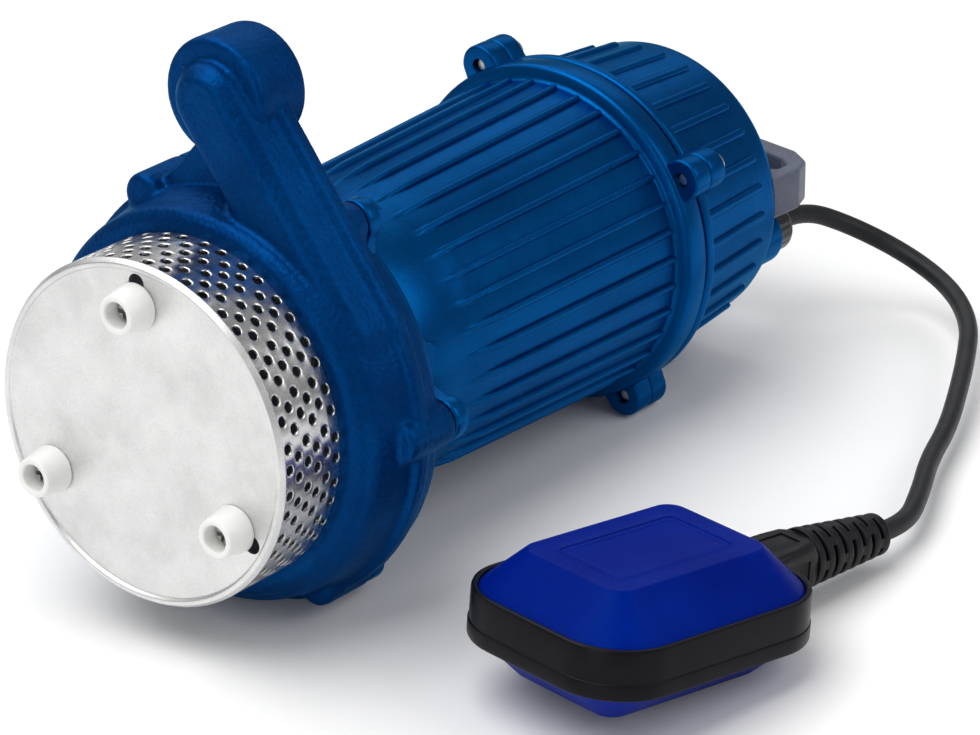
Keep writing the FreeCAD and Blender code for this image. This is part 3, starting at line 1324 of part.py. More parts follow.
def bent_wire(points):
    """straight runs joined by tangent arcs; also returns the arcs' radii"""
    edges = []
    radii = []
    at = points[0]
    for k in range(1, len(points) - 1):
        into = points[k].sub(points[k - 1])
        away = points[k + 1].sub(points[k])
        share = BEND_SHARE * min(into.Length, away.Length)
        half_turn = into.getAngle(away) / 2.0
        into.normalize()
        away.normalize()
        radius = share / math.tan(half_turn)
        first = points[k] - into * share
        last = points[k] + away * share
        inward = away - into
        inward.normalize()
        middle = points[k] + inward * (radius / math.cos(half_turn) - radius)
        edges.append(Part.LineSegment(at, first).toShape())
        edges.append(Part.Arc(first, middle, last).toShape())
        radii.append(radius)
        at = last
    edges.append(Part.LineSegment(at, points[-1]).toShape())
    return Part.Wire(edges), radii


def float_cord():
    points = cord_points()
    wire, radii = bent_wire(points)
    heading = points[1].sub(points[0])
    ring = Part.Wire(Part.makeCircle(CORD_R, points[0], heading))
    tube_shape = wire.makePipeShell([ring], True, True)
    share = tube_shape.Volume / (math.pi * CORD_R ** 2 * wire.Length)
    print("cord length %.1f, least bend radius %.1f, volume share %.3f" % (wire.Length, min(radii), share))
    return tube_shape


PUMP_PIECES = {
    "strainer_basket": strainer_basket,
    "strainer_feet": strainer_feet,
    "foot_screws": foot_screws,
    "suction_cover": suction_cover,
    "suction_cover_screws": suction_cover_screws,
    "pump_casing": pump_casing,
    "casing_gasket": casing_gasket,
    "casing_bolts": casing_bolts,
    "seal_plate": seal_plate,
    "seal_plate_screws": seal_plate_screws,
    "seal_seat": seal_seat,
    "seal_head": seal_head,
    "seal_bellows": seal_bellows,
    "seal_retaining_ring": seal_retaining_ring,
    "impeller": impeller,
    "impeller_key": impeller_key,
    "impeller_nut": impeller_nut,
    "shaft": shaft,
    "shaft_lip_seal": lip_seal,
    "motor_housing": motor_housing,
    "oil_plug": oil_plug,
    "stator_core": stator_core,
    "stator_winding": stator_winding,
    "rotor_core": rotor_core,
    "bearing_outer_rings": bearing_outer_rings,
    "bearing_inner_rings": bearing_inner_rings,
    "bearing_shields": bearing_shields,
    "bearing_bracket": bearing_bracket,
    "cover_gasket": cover_gasket,
    "top_cover": top_cover,
    "cover_screws": cover_screws,
    "capacitor": capacitor,
    "capacitor_strap": capacitor_strap,
    "capacitor_strap_screws": strap_screws,
    "carry_handle": carry_handle,
    "handle_screws": handle_screws,
    "gland_nuts": gland_nuts,
    "cord_grommets": cord_grommets,
}

FLOAT_PIECES = {
    "float_upper_shell": float_upper_shell,
    "float_lower_shell": float_lower_shell,
    "float_band": float_band,
    "float_boot": float_boot,
    "weight_track": weight_track,
    "switch_weight": switch_weight,
    "microswitch": microswitch,
    "switch_lever": switch_lever,
    "switch_button": switch_button,
}


def as_one(shape):
    """one solid, or a compound of the separate solids of a node"""
    solids = []
    for item in shape if isinstance(shape, list) else [shape]:
        solids += item.Solids
    return solids[0] if len(solids) == 1 else Part.makeCompound(solids)


def middle_x(pieces):
    """x halfway between the tips of the feet and the top of the handle"""
    low = pieces["strainer_feet"].optimalBoundingBox(False, False).XMin
    high = pieces["carry_handle"].optimalBoundingBox(False, False).XMax
    return (low + high) / 2.0


def main():
    os.makedirs("parts", exist_ok=True)
    pieces = {name: laid(as_one(make())) for name, make in PUMP_PIECES.items()}
    shift = V(-middle_x(pieces), 0, 0)
    for name, make in FLOAT_PIECES.items():
        pieces[name] = afloat(as_one(make()))
    pieces["float_cord"] = float_cord()
    for name, shape in pieces.items():
        shape.translate(shift)
        if not shape.isValid():
            print("not valid:", name)
        shape.exportStep("parts/%s.step" % name)
    print("tilt %.4f, lift %.4f, shift %.4f" % (rest_tilt() + (shift.x,)))
    return pieces


if __name__ == "__main__":
    main()
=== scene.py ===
import json
import math

import bmesh
import bpy
from mathutils import Matrix, Vector


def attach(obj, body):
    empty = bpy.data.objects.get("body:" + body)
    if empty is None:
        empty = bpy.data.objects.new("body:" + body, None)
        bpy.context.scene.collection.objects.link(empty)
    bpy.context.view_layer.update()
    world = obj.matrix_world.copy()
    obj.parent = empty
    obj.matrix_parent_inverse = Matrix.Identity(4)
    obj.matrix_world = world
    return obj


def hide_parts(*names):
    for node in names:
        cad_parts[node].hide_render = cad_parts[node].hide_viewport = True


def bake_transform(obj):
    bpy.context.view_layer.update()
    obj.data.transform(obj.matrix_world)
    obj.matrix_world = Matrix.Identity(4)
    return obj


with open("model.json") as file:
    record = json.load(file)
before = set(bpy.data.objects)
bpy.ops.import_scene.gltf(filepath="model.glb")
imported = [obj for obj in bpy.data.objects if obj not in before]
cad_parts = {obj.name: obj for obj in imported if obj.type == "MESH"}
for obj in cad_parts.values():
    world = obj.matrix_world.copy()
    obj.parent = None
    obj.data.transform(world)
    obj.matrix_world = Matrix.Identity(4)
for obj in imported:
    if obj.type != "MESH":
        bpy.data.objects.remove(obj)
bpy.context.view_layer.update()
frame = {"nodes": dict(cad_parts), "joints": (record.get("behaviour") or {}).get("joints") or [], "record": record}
JOINTS = {joint["name"]: joint for joint in frame["joints"]}
PI = math.pi


# frames of the two assemblies: millimetres in, metres out

def frame_matrix(x_axis, y_axis, origin):
    turn = Matrix((x_axis, y_axis, x_axis.cross(y_axis))).transposed().to_4x4()
    turn.translation = origin
    return turn @ Matrix.Scale(0.001, 4)


# metres from each assembly's origin to its joint's
ROTOR_AT_X = 0.160
LEVER_AT_X, LEVER_AT_Z = 0.008, 0.005
SHAFT = Vector(JOINTS["rotor_spin"]["axis"]).normalized()
PUMP = frame_matrix(SHAFT, Vector((0, 1, 0)),
                    Vector(JOINTS["rotor_spin"]["pos_m"]) - ROTOR_AT_X * SHAFT)
FLOAT_X = Vector(JOINTS["weight_roll"]["axis"]).normalized()
FLOAT_Y = Vector(JOINTS["lever_turn"]["axis"]).normalized()
FLOAT_Z = FLOAT_X.cross(FLOAT_Y)
FLOAT = frame_matrix(FLOAT_X, FLOAT_Y, Vector(JOINTS["lever_turn"]["pos_m"])
                     - LEVER_AT_X * FLOAT_X - LEVER_AT_Z * FLOAT_Z)


# materials

def noise(tree, scale, detail, roughness, stretch=None):
    place = tree.nodes.new("ShaderNodeTexCoord")
    source = place.outputs["Object"]
    if stretch:
        mapping = tree.nodes.new("ShaderNodeMapping")
        mapping.inputs["Scale"].default_value = stretch
        tree.links.new(source, mapping.inputs["Vector"])
        source = mapping.outputs["Vector"]
    texture = tree.nodes.new("ShaderNodeTexNoise")
    for key, value in (("Scale", scale), ("Detail", detail), ("Roughness", roughness)):
        texture.inputs[key].default_value = value
    tree.links.new(source, texture.inputs["Vector"])
    return texture.outputs["Fac"]


def ramp(tree, source, stops):
    made = tree.nodes.new("ShaderNodeValToRGB")
    elements = made.color_ramp.elements
    while len(elements) < len(stops):
        elements.new(0.5)
    for element, (position, colour) in zip(elements, stops):
        element.position = position
        element.color = (*colour, 1.0)
    tree.links.new(source, made.inputs["Fac"])
    return made.outputs["Color"]


def spread(tree, source, low, high):
    """the noise's usual range, 0.3 to 0.7, spread over low to high"""
    made = tree.nodes.new("ShaderNodeMapRange")
    for key, value in (("From Min", 0.3), ("From Max", 0.7), ("To Min", low), ("To Max", high)):
        made.inputs[key].default_value = value
    tree.links.new(source, made.inputs["Value"])
    return made.outputs["Result"]


def multiplied(tree, first, second):
    made = tree.nodes.new("ShaderNodeMix")
    made.data_type = "RGBA"
    made.blend_type = "MULTIPLY"
    made.inputs["Factor"].default_value = 1.0
    tree.links.new(first, made.inputs["A"])
    tree.links.new(second, made.inputs["B"])
    return made.outputs["Result"]


def bump_of(tree, height, strength, distance):
    made = tree.nodes.new("ShaderNodeBump")
    made.inputs["Strength"].default_value = strength
    made.inputs["Distance"].default_value = distance
    tree.links.new(height, made.inputs["Height"])
    return made


COAT_ROUGHNESS = 0.22
WAVE_STRENGTH = 0.6


def finish_of(name, colours, patch, grain, grain_depth, grain_strength, rough,
              metallic=0.0, coat=0.0, wave=0.0, wave_scale=120.0, specular=0.5, fleck=0.06,
              streak=None, tint=None):
    """one surface finish: colour drift over the given colours, fine flecks, roughness drift and
    two sizes of bump; streak is (scale, stretch, depth) of lines in the colour"""
    material = bpy.data.materials.new(name)
    material.use_nodes = True
    tree = material.node_tree
    shader = tree.nodes["Principled BSDF"]
    shader.inputs["Metallic"].default_value = metallic
    shader.inputs["Specular IOR Level"].default_value = specular
    if tint:
        shader.inputs["Specular Tint"].default_value = (*tint, 1.0)
    shader.inputs["Coat Weight"].default_value = coat
    shader.inputs["Coat Roughness"].default_value = COAT_ROUGHNESS
    drift = noise(tree, patch, 5.0, 0.6)
    steps = [(0.32 + 0.36 * k / (len(colours) - 1), colour) for k, colour in enumerate(colours)]
    colour = ramp(tree, drift, steps)
    dots = noise(tree, grain, 2.0, 0.5)
    dotted = ramp(tree, dots, [(0.35, (1 - fleck * 2,) * 3), (0.65, (1 + fleck,) * 3)])
    colour = multiplied(tree, colour, dotted)
    if streak:
        scale, stretch, depth = streak
        lines = noise(tree, scale, 3.0, 0.7, stretch)
        shade = ramp(tree, lines, [(0.3, (1 - depth,) * 3), (0.7, (1.0,) * 3)])
        colour = multiplied(tree, colour, shade)
    tree.links.new(colour, shader.inputs["Base Color"])
    worn = noise(tree, patch * 2.7, 6.0, 0.7)
    tree.links.new(spread(tree, worn, *rough), shader.inputs["Roughness"])
    bump = bump_of(tree, dots, grain_strength, grain_depth)
    if wave:
        swell = bump_of(tree, noise(tree, wave_scale, 2.0, 0.5), WAVE_STRENGTH, wave)
        tree.links.new(swell.outputs["Normal"], bump.inputs["Normal"])
    tree.links.new(bump.outputs["Normal"], shader.inputs["Normal"])
    return material


# colours are dark to light in linear RGB; then the numbers are the drift's scale, the grain's
# scale, depth in metres and strength, and the roughness range

CAST = ((0.0, 0.030, 0.140), (0.0, 0.038, 0.165), (0.0, 0.046, 0.19))
BLUE = ((0.0, 0.054, 0.205), (0.0, 0.064, 0.235), (0.0, 0.074, 0.265))
EDGE_BLUE = (0.15, 0.7, 1.0)
CAST_BLUE = finish_of(
    "cast_blue_enamel", CAST, 26, 560, 0.0004, 0.8, (0.4, 0.52),
    metallic=0.75, wave=0.0006, wave_scale=150, specular=0.2, tint=EDGE_BLUE)
BODY_BLUE = finish_of(
    "smooth_blue_enamel", BLUE, 20, 900, 0.0001, 0.4, (0.3, 0.39),
    metallic=0.85, wave=0.0003, wave_scale=110, specular=0.2, fleck=0.04, tint=EDGE_BLUE)
DISC_STEEL = finish_of(
    "strainer_disc_steel", ((0.66, 0.66, 0.655), (0.74, 0.74, 0.735), (0.79, 0.79, 0.785)),
    38, 1500, 0.00003, 0.3, (0.36, 0.5), metallic=1.0, wave=0.0004, wave_scale=40, fleck=0.03)
WALL_STEEL = finish_of(
    "strainer_wall_steel", ((0.62, 0.62, 0.62), (0.76, 0.76, 0.755)),
    60, 1200, 0.00003, 0.3, (0.2, 0.32),
    metallic=1.0, wave=0.0005, wave_scale=55, fleck=0.04, streak=(700, (1, 0.05, 0.05), 0.1))
WHITE = finish_of(
    "white_moulded", ((0.82, 0.82, 0.80), (0.87, 0.87, 0.85)), 60, 1200, 0.00003, 0.2, (0.32, 0.42),
    fleck=0.01)
HANDLE_GREY = finish_of(
    "handle_grey", ((0.085, 0.096, 0.14), (0.115, 0.128, 0.18)),
    40, 1400, 0.00008, 0.6, (0.36, 0.48),
    specular=0.25, fleck=0.1)
NUT_GREY = finish_of(
    "gland_nut_grey", ((0.012, 0.013, 0.017), (0.022, 0.024, 0.03)),
    60, 1400, 0.00008, 0.6, (0.22, 0.34),
    fleck=0.1)
FLOAT_BLUE = finish_of(
    "float_blue", ((0.0, 0.007, 0.17), (0.0, 0.010, 0.20), (0.0, 0.013, 0.235)),
    16, 1500, 0.00005, 0.45, (0.36, 0.48), specular=0.05, tint=EDGE_BLUE)
FLOAT_BLACK = finish_of(
    "float_black", ((0.003, 0.003, 0.005), (0.006, 0.006, 0.009)),
    30, 1500, 0.00006, 0.5, (0.26, 0.38),
    specular=0.1, fleck=0.1)
RUBBER = finish_of(
    "black_rubber", ((0.004, 0.004, 0.006), (0.008, 0.008, 0.010)),
    60, 1600, 0.00006, 0.5, (0.34, 0.5),
    specular=0.2, fleck=0.12)
CORD_RUBBER = finish_of(
    "cord_rubber", ((0.010, 0.011, 0.013), (0.018, 0.019, 0.022)),
    80, 1400, 0.00007, 0.5, (0.4, 0.52),
    specular=0.25, fleck=0.1, streak=(260, (1, 1, 1), 0.12))
SCREW_STEEL = finish_of(
    "screw_steel", ((0.42, 0.41, 0.39), (0.60, 0.60, 0.58)), 200, 2600, 0.00004, 0.4, (0.28, 0.45),
    metallic=1.0, fleck=0.1)
GROUND_STEEL = finish_of(
    "ground_steel", ((0.55, 0.55, 0.56), (0.70, 0.70, 0.71)), 90, 2400, 0.00002, 0.3, (0.16, 0.28),
    metallic=1.0, fleck=0.05, streak=(1200, (1, 0.04, 0.04), 0.1))
BARE_ALLOY = finish_of(
    "bare_alloy", ((0.52, 0.53, 0.54), (0.66, 0.67, 0.68)), 40, 900, 0.0001, 0.5, (0.38, 0.55),
    metallic=1.0, wave=0.0002, fleck=0.08)
DARK_IRON = finish_of(
    "dark_cast_cover", ((0.09, 0.10, 0.12), (0.16, 0.17, 0.19)),
    40, 700, 0.00015, 0.6, (0.45, 0.65),
    metallic=0.6, fleck=0.12)
CORE_STEEL = finish_of(
    "laminated_core", ((0.20, 0.20, 0.21), (0.30, 0.30, 0.31)), 60, 900, 0.00006, 0.4, (0.4, 0.6),
    metallic=0.9, fleck=0.08, streak=(1800, (1, 0.02, 0.02), 0.5))
COPPER = finish_of(
    "varnished_copper", ((0.38, 0.14, 0.04), (0.60, 0.24, 0.08)),
    120, 1200, 0.00012, 0.6, (0.25, 0.4),
    metallic=0.9, coat=0.3, fleck=0.12, streak=(1500, (0.04, 1, 1), 0.4))
CERAMIC = finish_of(
    "seal_ceramic", ((0.70, 0.68, 0.60), (0.80, 0.78, 0.70)), 120, 1800, 0.00002, 0.2, (0.2, 0.3),
    fleck=0.03)
CARBON = finish_of(
    "seal_carbon", ((0.02, 0.02, 0.022), (0.04, 0.04, 0.043)), 150, 2000, 0.00004, 0.4, (0.3, 0.45),
    fleck=0.15)
GREY_CASE = finish_of(
    "capacitor_case", ((0.40, 0.41, 0.43), (0.50, 0.51, 0.53)),
    60, 1400, 0.00005, 0.3, (0.35, 0.45),
    fleck=0.03)

SLOT_FINISH = {
    "pump_blue": BODY_BLUE, "strainer_steel": WALL_STEEL, "white_plastic": WHITE,
    "screw_steel": SCREW_STEEL, "cast_cover": DARK_IRON, "bright_shaft": GROUND_STEEL,
    "impeller_alloy": BARE_ALLOY, "seal_ceramic": CERAMIC, "seal_carbon": CARBON,
    "black_rubber": RUBBER, "core_steel": CORE_STEEL, "copper_winding": COPPER,
    "grey_case": GREY_CASE, "handle_grey": HANDLE_GREY, "float_blue": FLOAT_BLUE,
    "float_black": FLOAT_BLACK, "bracket_alloy": BARE_ALLOY,
}


# mesh parts: a part is (points in millimetres, faces)

def link_rings(faces, low, high):
    if len(low) == 1:
        for k in range(len(high)):
            faces.append((low[0], high[k], high[(k + 1) % len(high)]))
    elif len(high) == 1:
        for k in range(len(low)):
            faces.append((low[k], high[0], low[(k + 1) % len(low)]))
    else:
        for k in range(len(low)):
            n = (k + 1) % len(low)
            faces.append((low[k], high[k], high[n], low[n]))


def soften(profile, radius, steps=4, closed=False):
    """profile with its plain corners rounded"""
    count = len(profile)
    result = []
    for k, point in enumerate(profile):
        if len(point) > 2 or (not closed and k in (0, count - 1)):
            result.append(point)
            continue
        here = Vector(point[:2])
        before = Vector(profile[k - 1][:2]) - here
        after = Vector(profile[(k + 1) % count][:2]) - here
        if before.length < 1e-6 or after.length < 1e-6:
            result.append(point)
            continue
        half = before.angle(after) / 2.0
        if half > 1.5:
            result.append(point)
            continue
        reach = min(radius / math.tan(half), 0.48 * before.length, 0.48 * after.length)
        first = here + before.normalized() * reach
        last = here + after.normalized() * reach
        for s in range(steps + 1):
            t = s / steps
            p = first * (1 - t) ** 2 + here * 2 * t * (1 - t) + last * t * t
            result.append((p.x, p.y))
    return result


def lathe(profile, n, y=0.0, z=0.0, closed=False):
    """surface turned about an axis along X from (x, radius) or (x, radius, shape) points"""
    verts, faces, rings = [], [], []
    for point in profile:
        x, radius = point[:2]
        if radius < 1e-6:
            rings.append([len(verts)])
            verts.append((x, y, z))
            continue
        ring = []
        for k in range(n):
            a = 2 * PI * k / n
            r = radius * point[2](a) if len(point) > 2 else radius
            ring.append(len(verts))
            verts.append((x, y + r * math.cos(a), z + r * math.sin(a)))
        rings.append(ring)
    for low, high in zip(rings, rings[1:]):
        link_rings(faces, low, high)
    if closed:
        link_rings(faces, rings[-1], rings[0])
    return verts, faces


def hexagonal(a):
    return 1.0 / math.cos((a + PI / 6) % (PI / 3) - PI / 6)


def crossed(a):
    near = abs((a + PI / 4) % (PI / 2) - PI / 4)
    return min(1.0, 0.28 / max(0.05, math.sin(near) + 1e-6))


def merged(parts):
    verts, faces = [], []
    for part_verts, part_faces in parts:
        base = len(verts)
        verts += part_verts
        faces += [tuple(i + base for i in face) for face in part_faces]
    return verts, faces


def moved(part, matrix):
    return [tuple(matrix @ Vector(v)) for v in part[0]], part[1]


def turned(part, degrees):
    return moved(part, Matrix.Rotation(math.radians(degrees), 4, "X"))


def prism(points, direction):
    n = len(points)
    step = Vector(direction)
    verts = [tuple(p) for p in points] + [tuple(Vector(p) + step) for p in points]
    faces = [tuple(range(n)), tuple(range(2 * n - 1, n - 1, -1))]
    for k in range(n):
        m = (k + 1) % n
        faces.append((k, k + n, m + n, m))
    return verts, faces


def polar(radius, degrees):
    return radius * math.cos(math.radians(degrees)), radius * math.sin(math.radians(degrees))


def mesh_object(name, part, place):
    mesh = bpy.data.meshes.new(name)
    mesh.from_pydata([place @ Vector(v) for v in part[0]], [], part[1])
    mesh.validate()
    work = bmesh.new()
    work.from_mesh(mesh)
    bmesh.ops.remove_doubles(work, verts=work.verts, dist=1e-7)
    bmesh.ops.recalc_face_normals(work, faces=work.faces)
    work.to_mesh(mesh)
    work.free()
    made = bpy.data.objects.new(name, mesh)
    bpy.context.scene.collection.objects.link(made)
    return made


def baked(made):
    """the object with its modifiers applied"""
    bpy.context.view_layer.update()
    graph = bpy.context.evaluated_depsgraph_get()
    mesh = bpy.data.meshes.new_from_object(made.evaluated_get(graph))
    made.modifiers.clear()
    made.data = mesh
    return made


def cut_away(made, cutters):
    for cutter in cutters:
        step = made.modifiers.new("cut", "BOOLEAN")
        step.operation = "DIFFERENCE"
        step.solver = "EXACT"
        step.object = cutter
    baked(made)
    for cutter in cutters:
        bpy.data.objects.remove(cutter)


BEVEL_ANGLE = 40.0


def bevelled(made, width, segments=4):
    step = made.modifiers.new("bevel", "BEVEL")
    step.width = width * 0.001
    step.segments = segments
    step.limit_method = "ANGLE"
    step.angle_limit = math.radians(BEVEL_ANGLE)
    step.use_clamp_overlap = True
    return baked(made)


def shown(made, body, finish, sharp, stands_for=()):
    """puts the finish on, rides the piece on its body and hides the nodes it stands for"""
    made.data.shade_smooth()
    made.data.set_sharp_from_angle(angle=math.radians(sharp))
    made.data.materials.clear()
    made.data.materials.append(finish)
    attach(made, body)
    if stands_for:
        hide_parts(*stands_for)


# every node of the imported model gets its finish

for record_part in frame["record"]["subparts"]:
    part_object = frame["nodes"][record_part["node"]]
    for material_slot in part_object.material_slots:
        material_slot.link = "OBJECT"
        material_slot.material = SLOT_FINISH[record_part["material_slot"]]


# inlet strainer

FOOT_ANGLES = (90.0, 210.0, 330.0)
FOOT_CIRCLE_R, VENT_CIRCLE_R, VENT_R = 51.0, 60.0, 3.6
STRAINER_R = 68.0
WALL_INNER_R = 67.1
ROW_X, ROW_PITCH, ROWS = 4.8, 5.2, 6
GROUPS, STEP, STAGGER, FIRST = 23, 6.9, 3.6, 108.2
HOLE_R = 1.95
WALL_TOP_X = 36.0


def wall_cell(a_mid, a_low, a_high, x_mid, x_low, x_high):
    """one punched cell of the wall: border, dished edge, hole side and inner face"""
    border = []
    for k in range(4):
        border.append((a_low + (a_high - a_low) * k / 4, x_low))
    for k in range(4):
        border.append((a_high, x_low + (x_high - x_low) * k / 4))
    for k in range(4):
        border.append((a_high + (a_low - a_high) * k / 4, x_high))
    for k in range(4):
        border.append((a_low, x_high + (x_low - x_high) * k / 4))
    scale = math.radians(1.0) * STRAINER_R
    rings = [(None, STRAINER_R), (HOLE_R + 0.65, STRAINER_R), (HOLE_R + 0.3, STRAINER_R - 0.08),
             (HOLE_R, STRAINER_R - 0.3), (HOLE_R, WALL_INNER_R), (None, WALL_INNER_R)]
    verts, faces, made = [], [], []
    for radius, depth in rings:
        ring = []
        for a, x in border:
            u, v = (a - a_mid) * scale, x - x_mid
            if radius is not None:
                share = radius / math.hypot(u, v)
                a, x = a_mid + u * share / scale, x_mid + v * share
            y, z = polar(depth, a)
            ring.append(len(verts))
            verts.append((x, y, z))
        made.append(ring)
    for low, high in zip(made, made[1:]):
        link_rings(faces, low, high)
    return verts, faces


def strainer():
    cells = []
    for row in range(ROWS):
        x_mid = ROW_X + ROW_PITCH * row
        angles = []
        for group in range(GROUPS):
            start = FIRST + 360.0 / GROUPS * group + STAGGER * (row % 2)
            angles += [start, start + STEP]
        angles.append(angles[0] + 360.0)
        angles.insert(0, angles[-2] - 360.0)
        for k in range(1, len(angles) - 1):
            low = (angles[k - 1] + angles[k]) / 2
            high = (angles[k] + angles[k + 1]) / 2
            cells.append(wall_cell(angles[k], low, high, x_mid,
                                   x_mid - ROW_PITCH / 2, x_mid + ROW_PITCH / 2))
    wall = merged(cells)
    top = ROW_X + ROW_PITCH * (ROWS - 0.5)
    edge = lathe([(top, STRAINER_R), (WALL_TOP_X, STRAINER_R), (WALL_TOP_X, WALL_INNER_R),
                  (top, WALL_INNER_R)], 184)
    made = mesh_object("strainer_wall", merged([wall, edge]), PUMP)
    shown(made, "pump", WALL_STEEL, 40)
    profile = soften([(1.3, 0.0), (1.3, 64.2), (0.0, 65.0), (0.0, 66.6), (2.2, 68.0), (2.8, 68.0),
                      (2.8, 66.6), (2.2, 66.2), (2.2, 0.0)], 0.7, 4)
    disc = mesh_object("strainer_disc", lathe(profile, 184), PUMP)
    punch = [(-1, 0), (-1, VENT_R), (5, VENT_R), (5, 0)]
    cut_away(disc, [mesh_object("vent_punch", lathe(punch, 40, *polar(VENT_CIRCLE_R, angle)), PUMP)
                    for angle in FOOT_ANGLES])
    shown(disc, "pump", DISC_STEEL, 30, ("strainer_basket",))


def feet():
    parts, screws = [], []
    profile = soften([(1.3, 0.0), (1.3, 9.5), (-10.7, 7.6), (-10.7, 5.2), (-2.7, 4.9), (-2.7, 0.0)],
                     1.1, 5)
    head = [(1.0, 0.0), (1.0, 2.6), (-2.7, 2.6)]
    head += soften([(-2.7, 4.4), (-4.6, 4.3), (-5.6, 3.0)], 0.9, 4)
    head += [(-5.7, 2.9, crossed), (-3.9, 2.3, crossed), (-3.6, 0.0)]
    for angle in FOOT_ANGLES:
        y, z = polar(FOOT_CIRCLE_R, angle)
        parts.append(lathe(profile, 72, y, z))
        screws.append(lathe(head, 48, y, z))
    made = mesh_object("inlet_feet", merged(parts), PUMP)
    shown(made, "pump", WHITE, 50, ("strainer_feet",))
    made = mesh_object("foot_screw_heads", merged(screws), PUMP)
    shown(made, "pump", SCREW_STEEL, 30, ("foot_screws",))


# pump casing: the cast forms are melted together, then machined

BOLT_ANGLES = (0.0, 60.0, 120.0, 180.0, 240.0, 300.0)
BOLT_CIRCLE_R = 80.0
FLANGE_X = 77.0
SCROLL_CENTRE = polar(2.0, 215.0)
OUTLET = (2.0, 116.6)
ARM_ROOT = (-58.0, 36.0)
PORT_MINOR_R, PORT_MAJOR_R, PORT_PITCH = 15.6, 16.6, 2.31
VOXEL, QUICK_VOXEL = 0.001, 0.0016


def between(profile, top, root, n=48):
    """(x, half width) profile carried round two centres and straight between them"""
    heading = math.degrees(math.atan2(top[1] - root[1], top[0] - root[0]))
    verts, faces, rings = [], [], []
    for x, half in profile:
        ring = []
        for centre, first in ((top, heading - 90.0), (root, heading + 90.0)):
            for k in range(n // 2 + 1):
                y, z = polar(max(half, 0.05), first + 360.0 / n * k)
                ring.append(len(verts))
                verts.append((x, centre[0] + y, centre[1] + z))
        rings.append(ring)
    faces = [tuple(reversed(rings[0])), tuple(rings[-1])]
    for low, high in zip(rings, rings[1:]):
        link_rings(faces, low, high)
    return verts, faces


def casing():
    scroll = [(36, 0), (36, 73), (38.8, 76.8), (41.5, 78.6), (57, 81.6), (57.4, 84.4), (63.8, 84.4),
              (64.4, 81.6), (73, 81), (73, 0)]
    flange = [(66, 0), (66, 78), (FLANGE_X, 78), (FLANGE_X, 0)]
    inlet_lip = [(33.5, 0), (33.5, 72.6), (36, 76), (40, 77), (46, 77), (46, 0)]
    port_boss = [(48.5, 0), (48.5, 23.2), (75.3, 23.2), (75.3, 0)]
    parts = [
        lathe(soften(scroll, 1.0, 4), 160, *SCROLL_CENTRE),
        lathe(soften(flange, 1.6, 4), 160),
        lathe(soften(inlet_lip, 2.2, 6), 160),
        lathe(soften(port_boss, 3.0, 8), 96, *OUTLET),
    ]
    ear = soften([(50, 0), (50, 8.6), (FLANGE_X, 8.8), (FLANGE_X, 0)], 3.2, 6)
    ear_root = soften([(58, 0), (58, 11), (FLANGE_X, 11), (FLANGE_X, 0)], 3.0, 6)
    for angle in BOLT_ANGLES:
        parts.append(lathe(ear, 48, *polar(BOLT_CIRCLE_R, angle)))
        parts.append(lathe(ear_root, 48, *polar(BOLT_CIRCLE_R - 6.0, angle)))
    arm = soften([(39.5, 0), (39.5, 10.0), (44.5, 14.4), (56.6, 15.8)], 5.0, 8)
    arm += [(57.6, 17.4), (58.6, 18.0), (63.8, 18.0), (65.0, 17.3), (65.6, 16.2), (65.6, 0)]
    parts.append(between(arm, OUTLET, ARM_ROOT))
    web = ((14, 104.6), (17, 94.6), (27, 83), (44, 66), (30, 40), (-40, 50))
    parts.append(prism([(56, y, z) for y, z in web], (9.5, 0, 0)))
    made = mesh_object("volute_casing", merged(parts), PUMP)
    melt = made.modifiers.new("melt", "REMESH")
    melt.mode = "VOXEL"
    melt.voxel_size = VOXEL
    relax = made.modifiers.new("relax", "SMOOTH")
    relax.factor = 0.5
    relax.iterations = 4
    baked(made)
    socket = [(25, 0), (25, 68.1), (36, 68.1), (36, 65.1), (43, 65.1), (43, 55), (48, 55), (48, 65),
              (79, 65), (79, 0)]
    thread = [(50, 0), (50, 10), (61.0, 10), (61.0, PORT_MINOR_R)]
    x = 61.3
    while x < 75.0:
        thread += [(x, PORT_MINOR_R), (x + 0.9, PORT_MAJOR_R), (x + 1.2, PORT_MAJOR_R),
                   (x + 2.1, PORT_MINOR_R)]
        x += PORT_PITCH
    thread += [(75.2, 16.8), (78, 18.2), (78, 0)]
    cut_away(made, [mesh_object("socket_cut", lathe(socket, 160), PUMP),
                    mesh_object("port_cut", lathe(thread, 96, *OUTLET), PUMP)])
    # the casing rests on the floor, so nothing of it goes lower
    for vertex in made.data.vertices:
        vertex.co.z = max(vertex.co.z, 0.0)
    shown(made, "pump", CAST_BLUE, 50, ("pump_casing",))


# motor housing and top cover: ribs are raised out of the turned surface

RIB_R = 64.0
STATION_STEP = 6.0


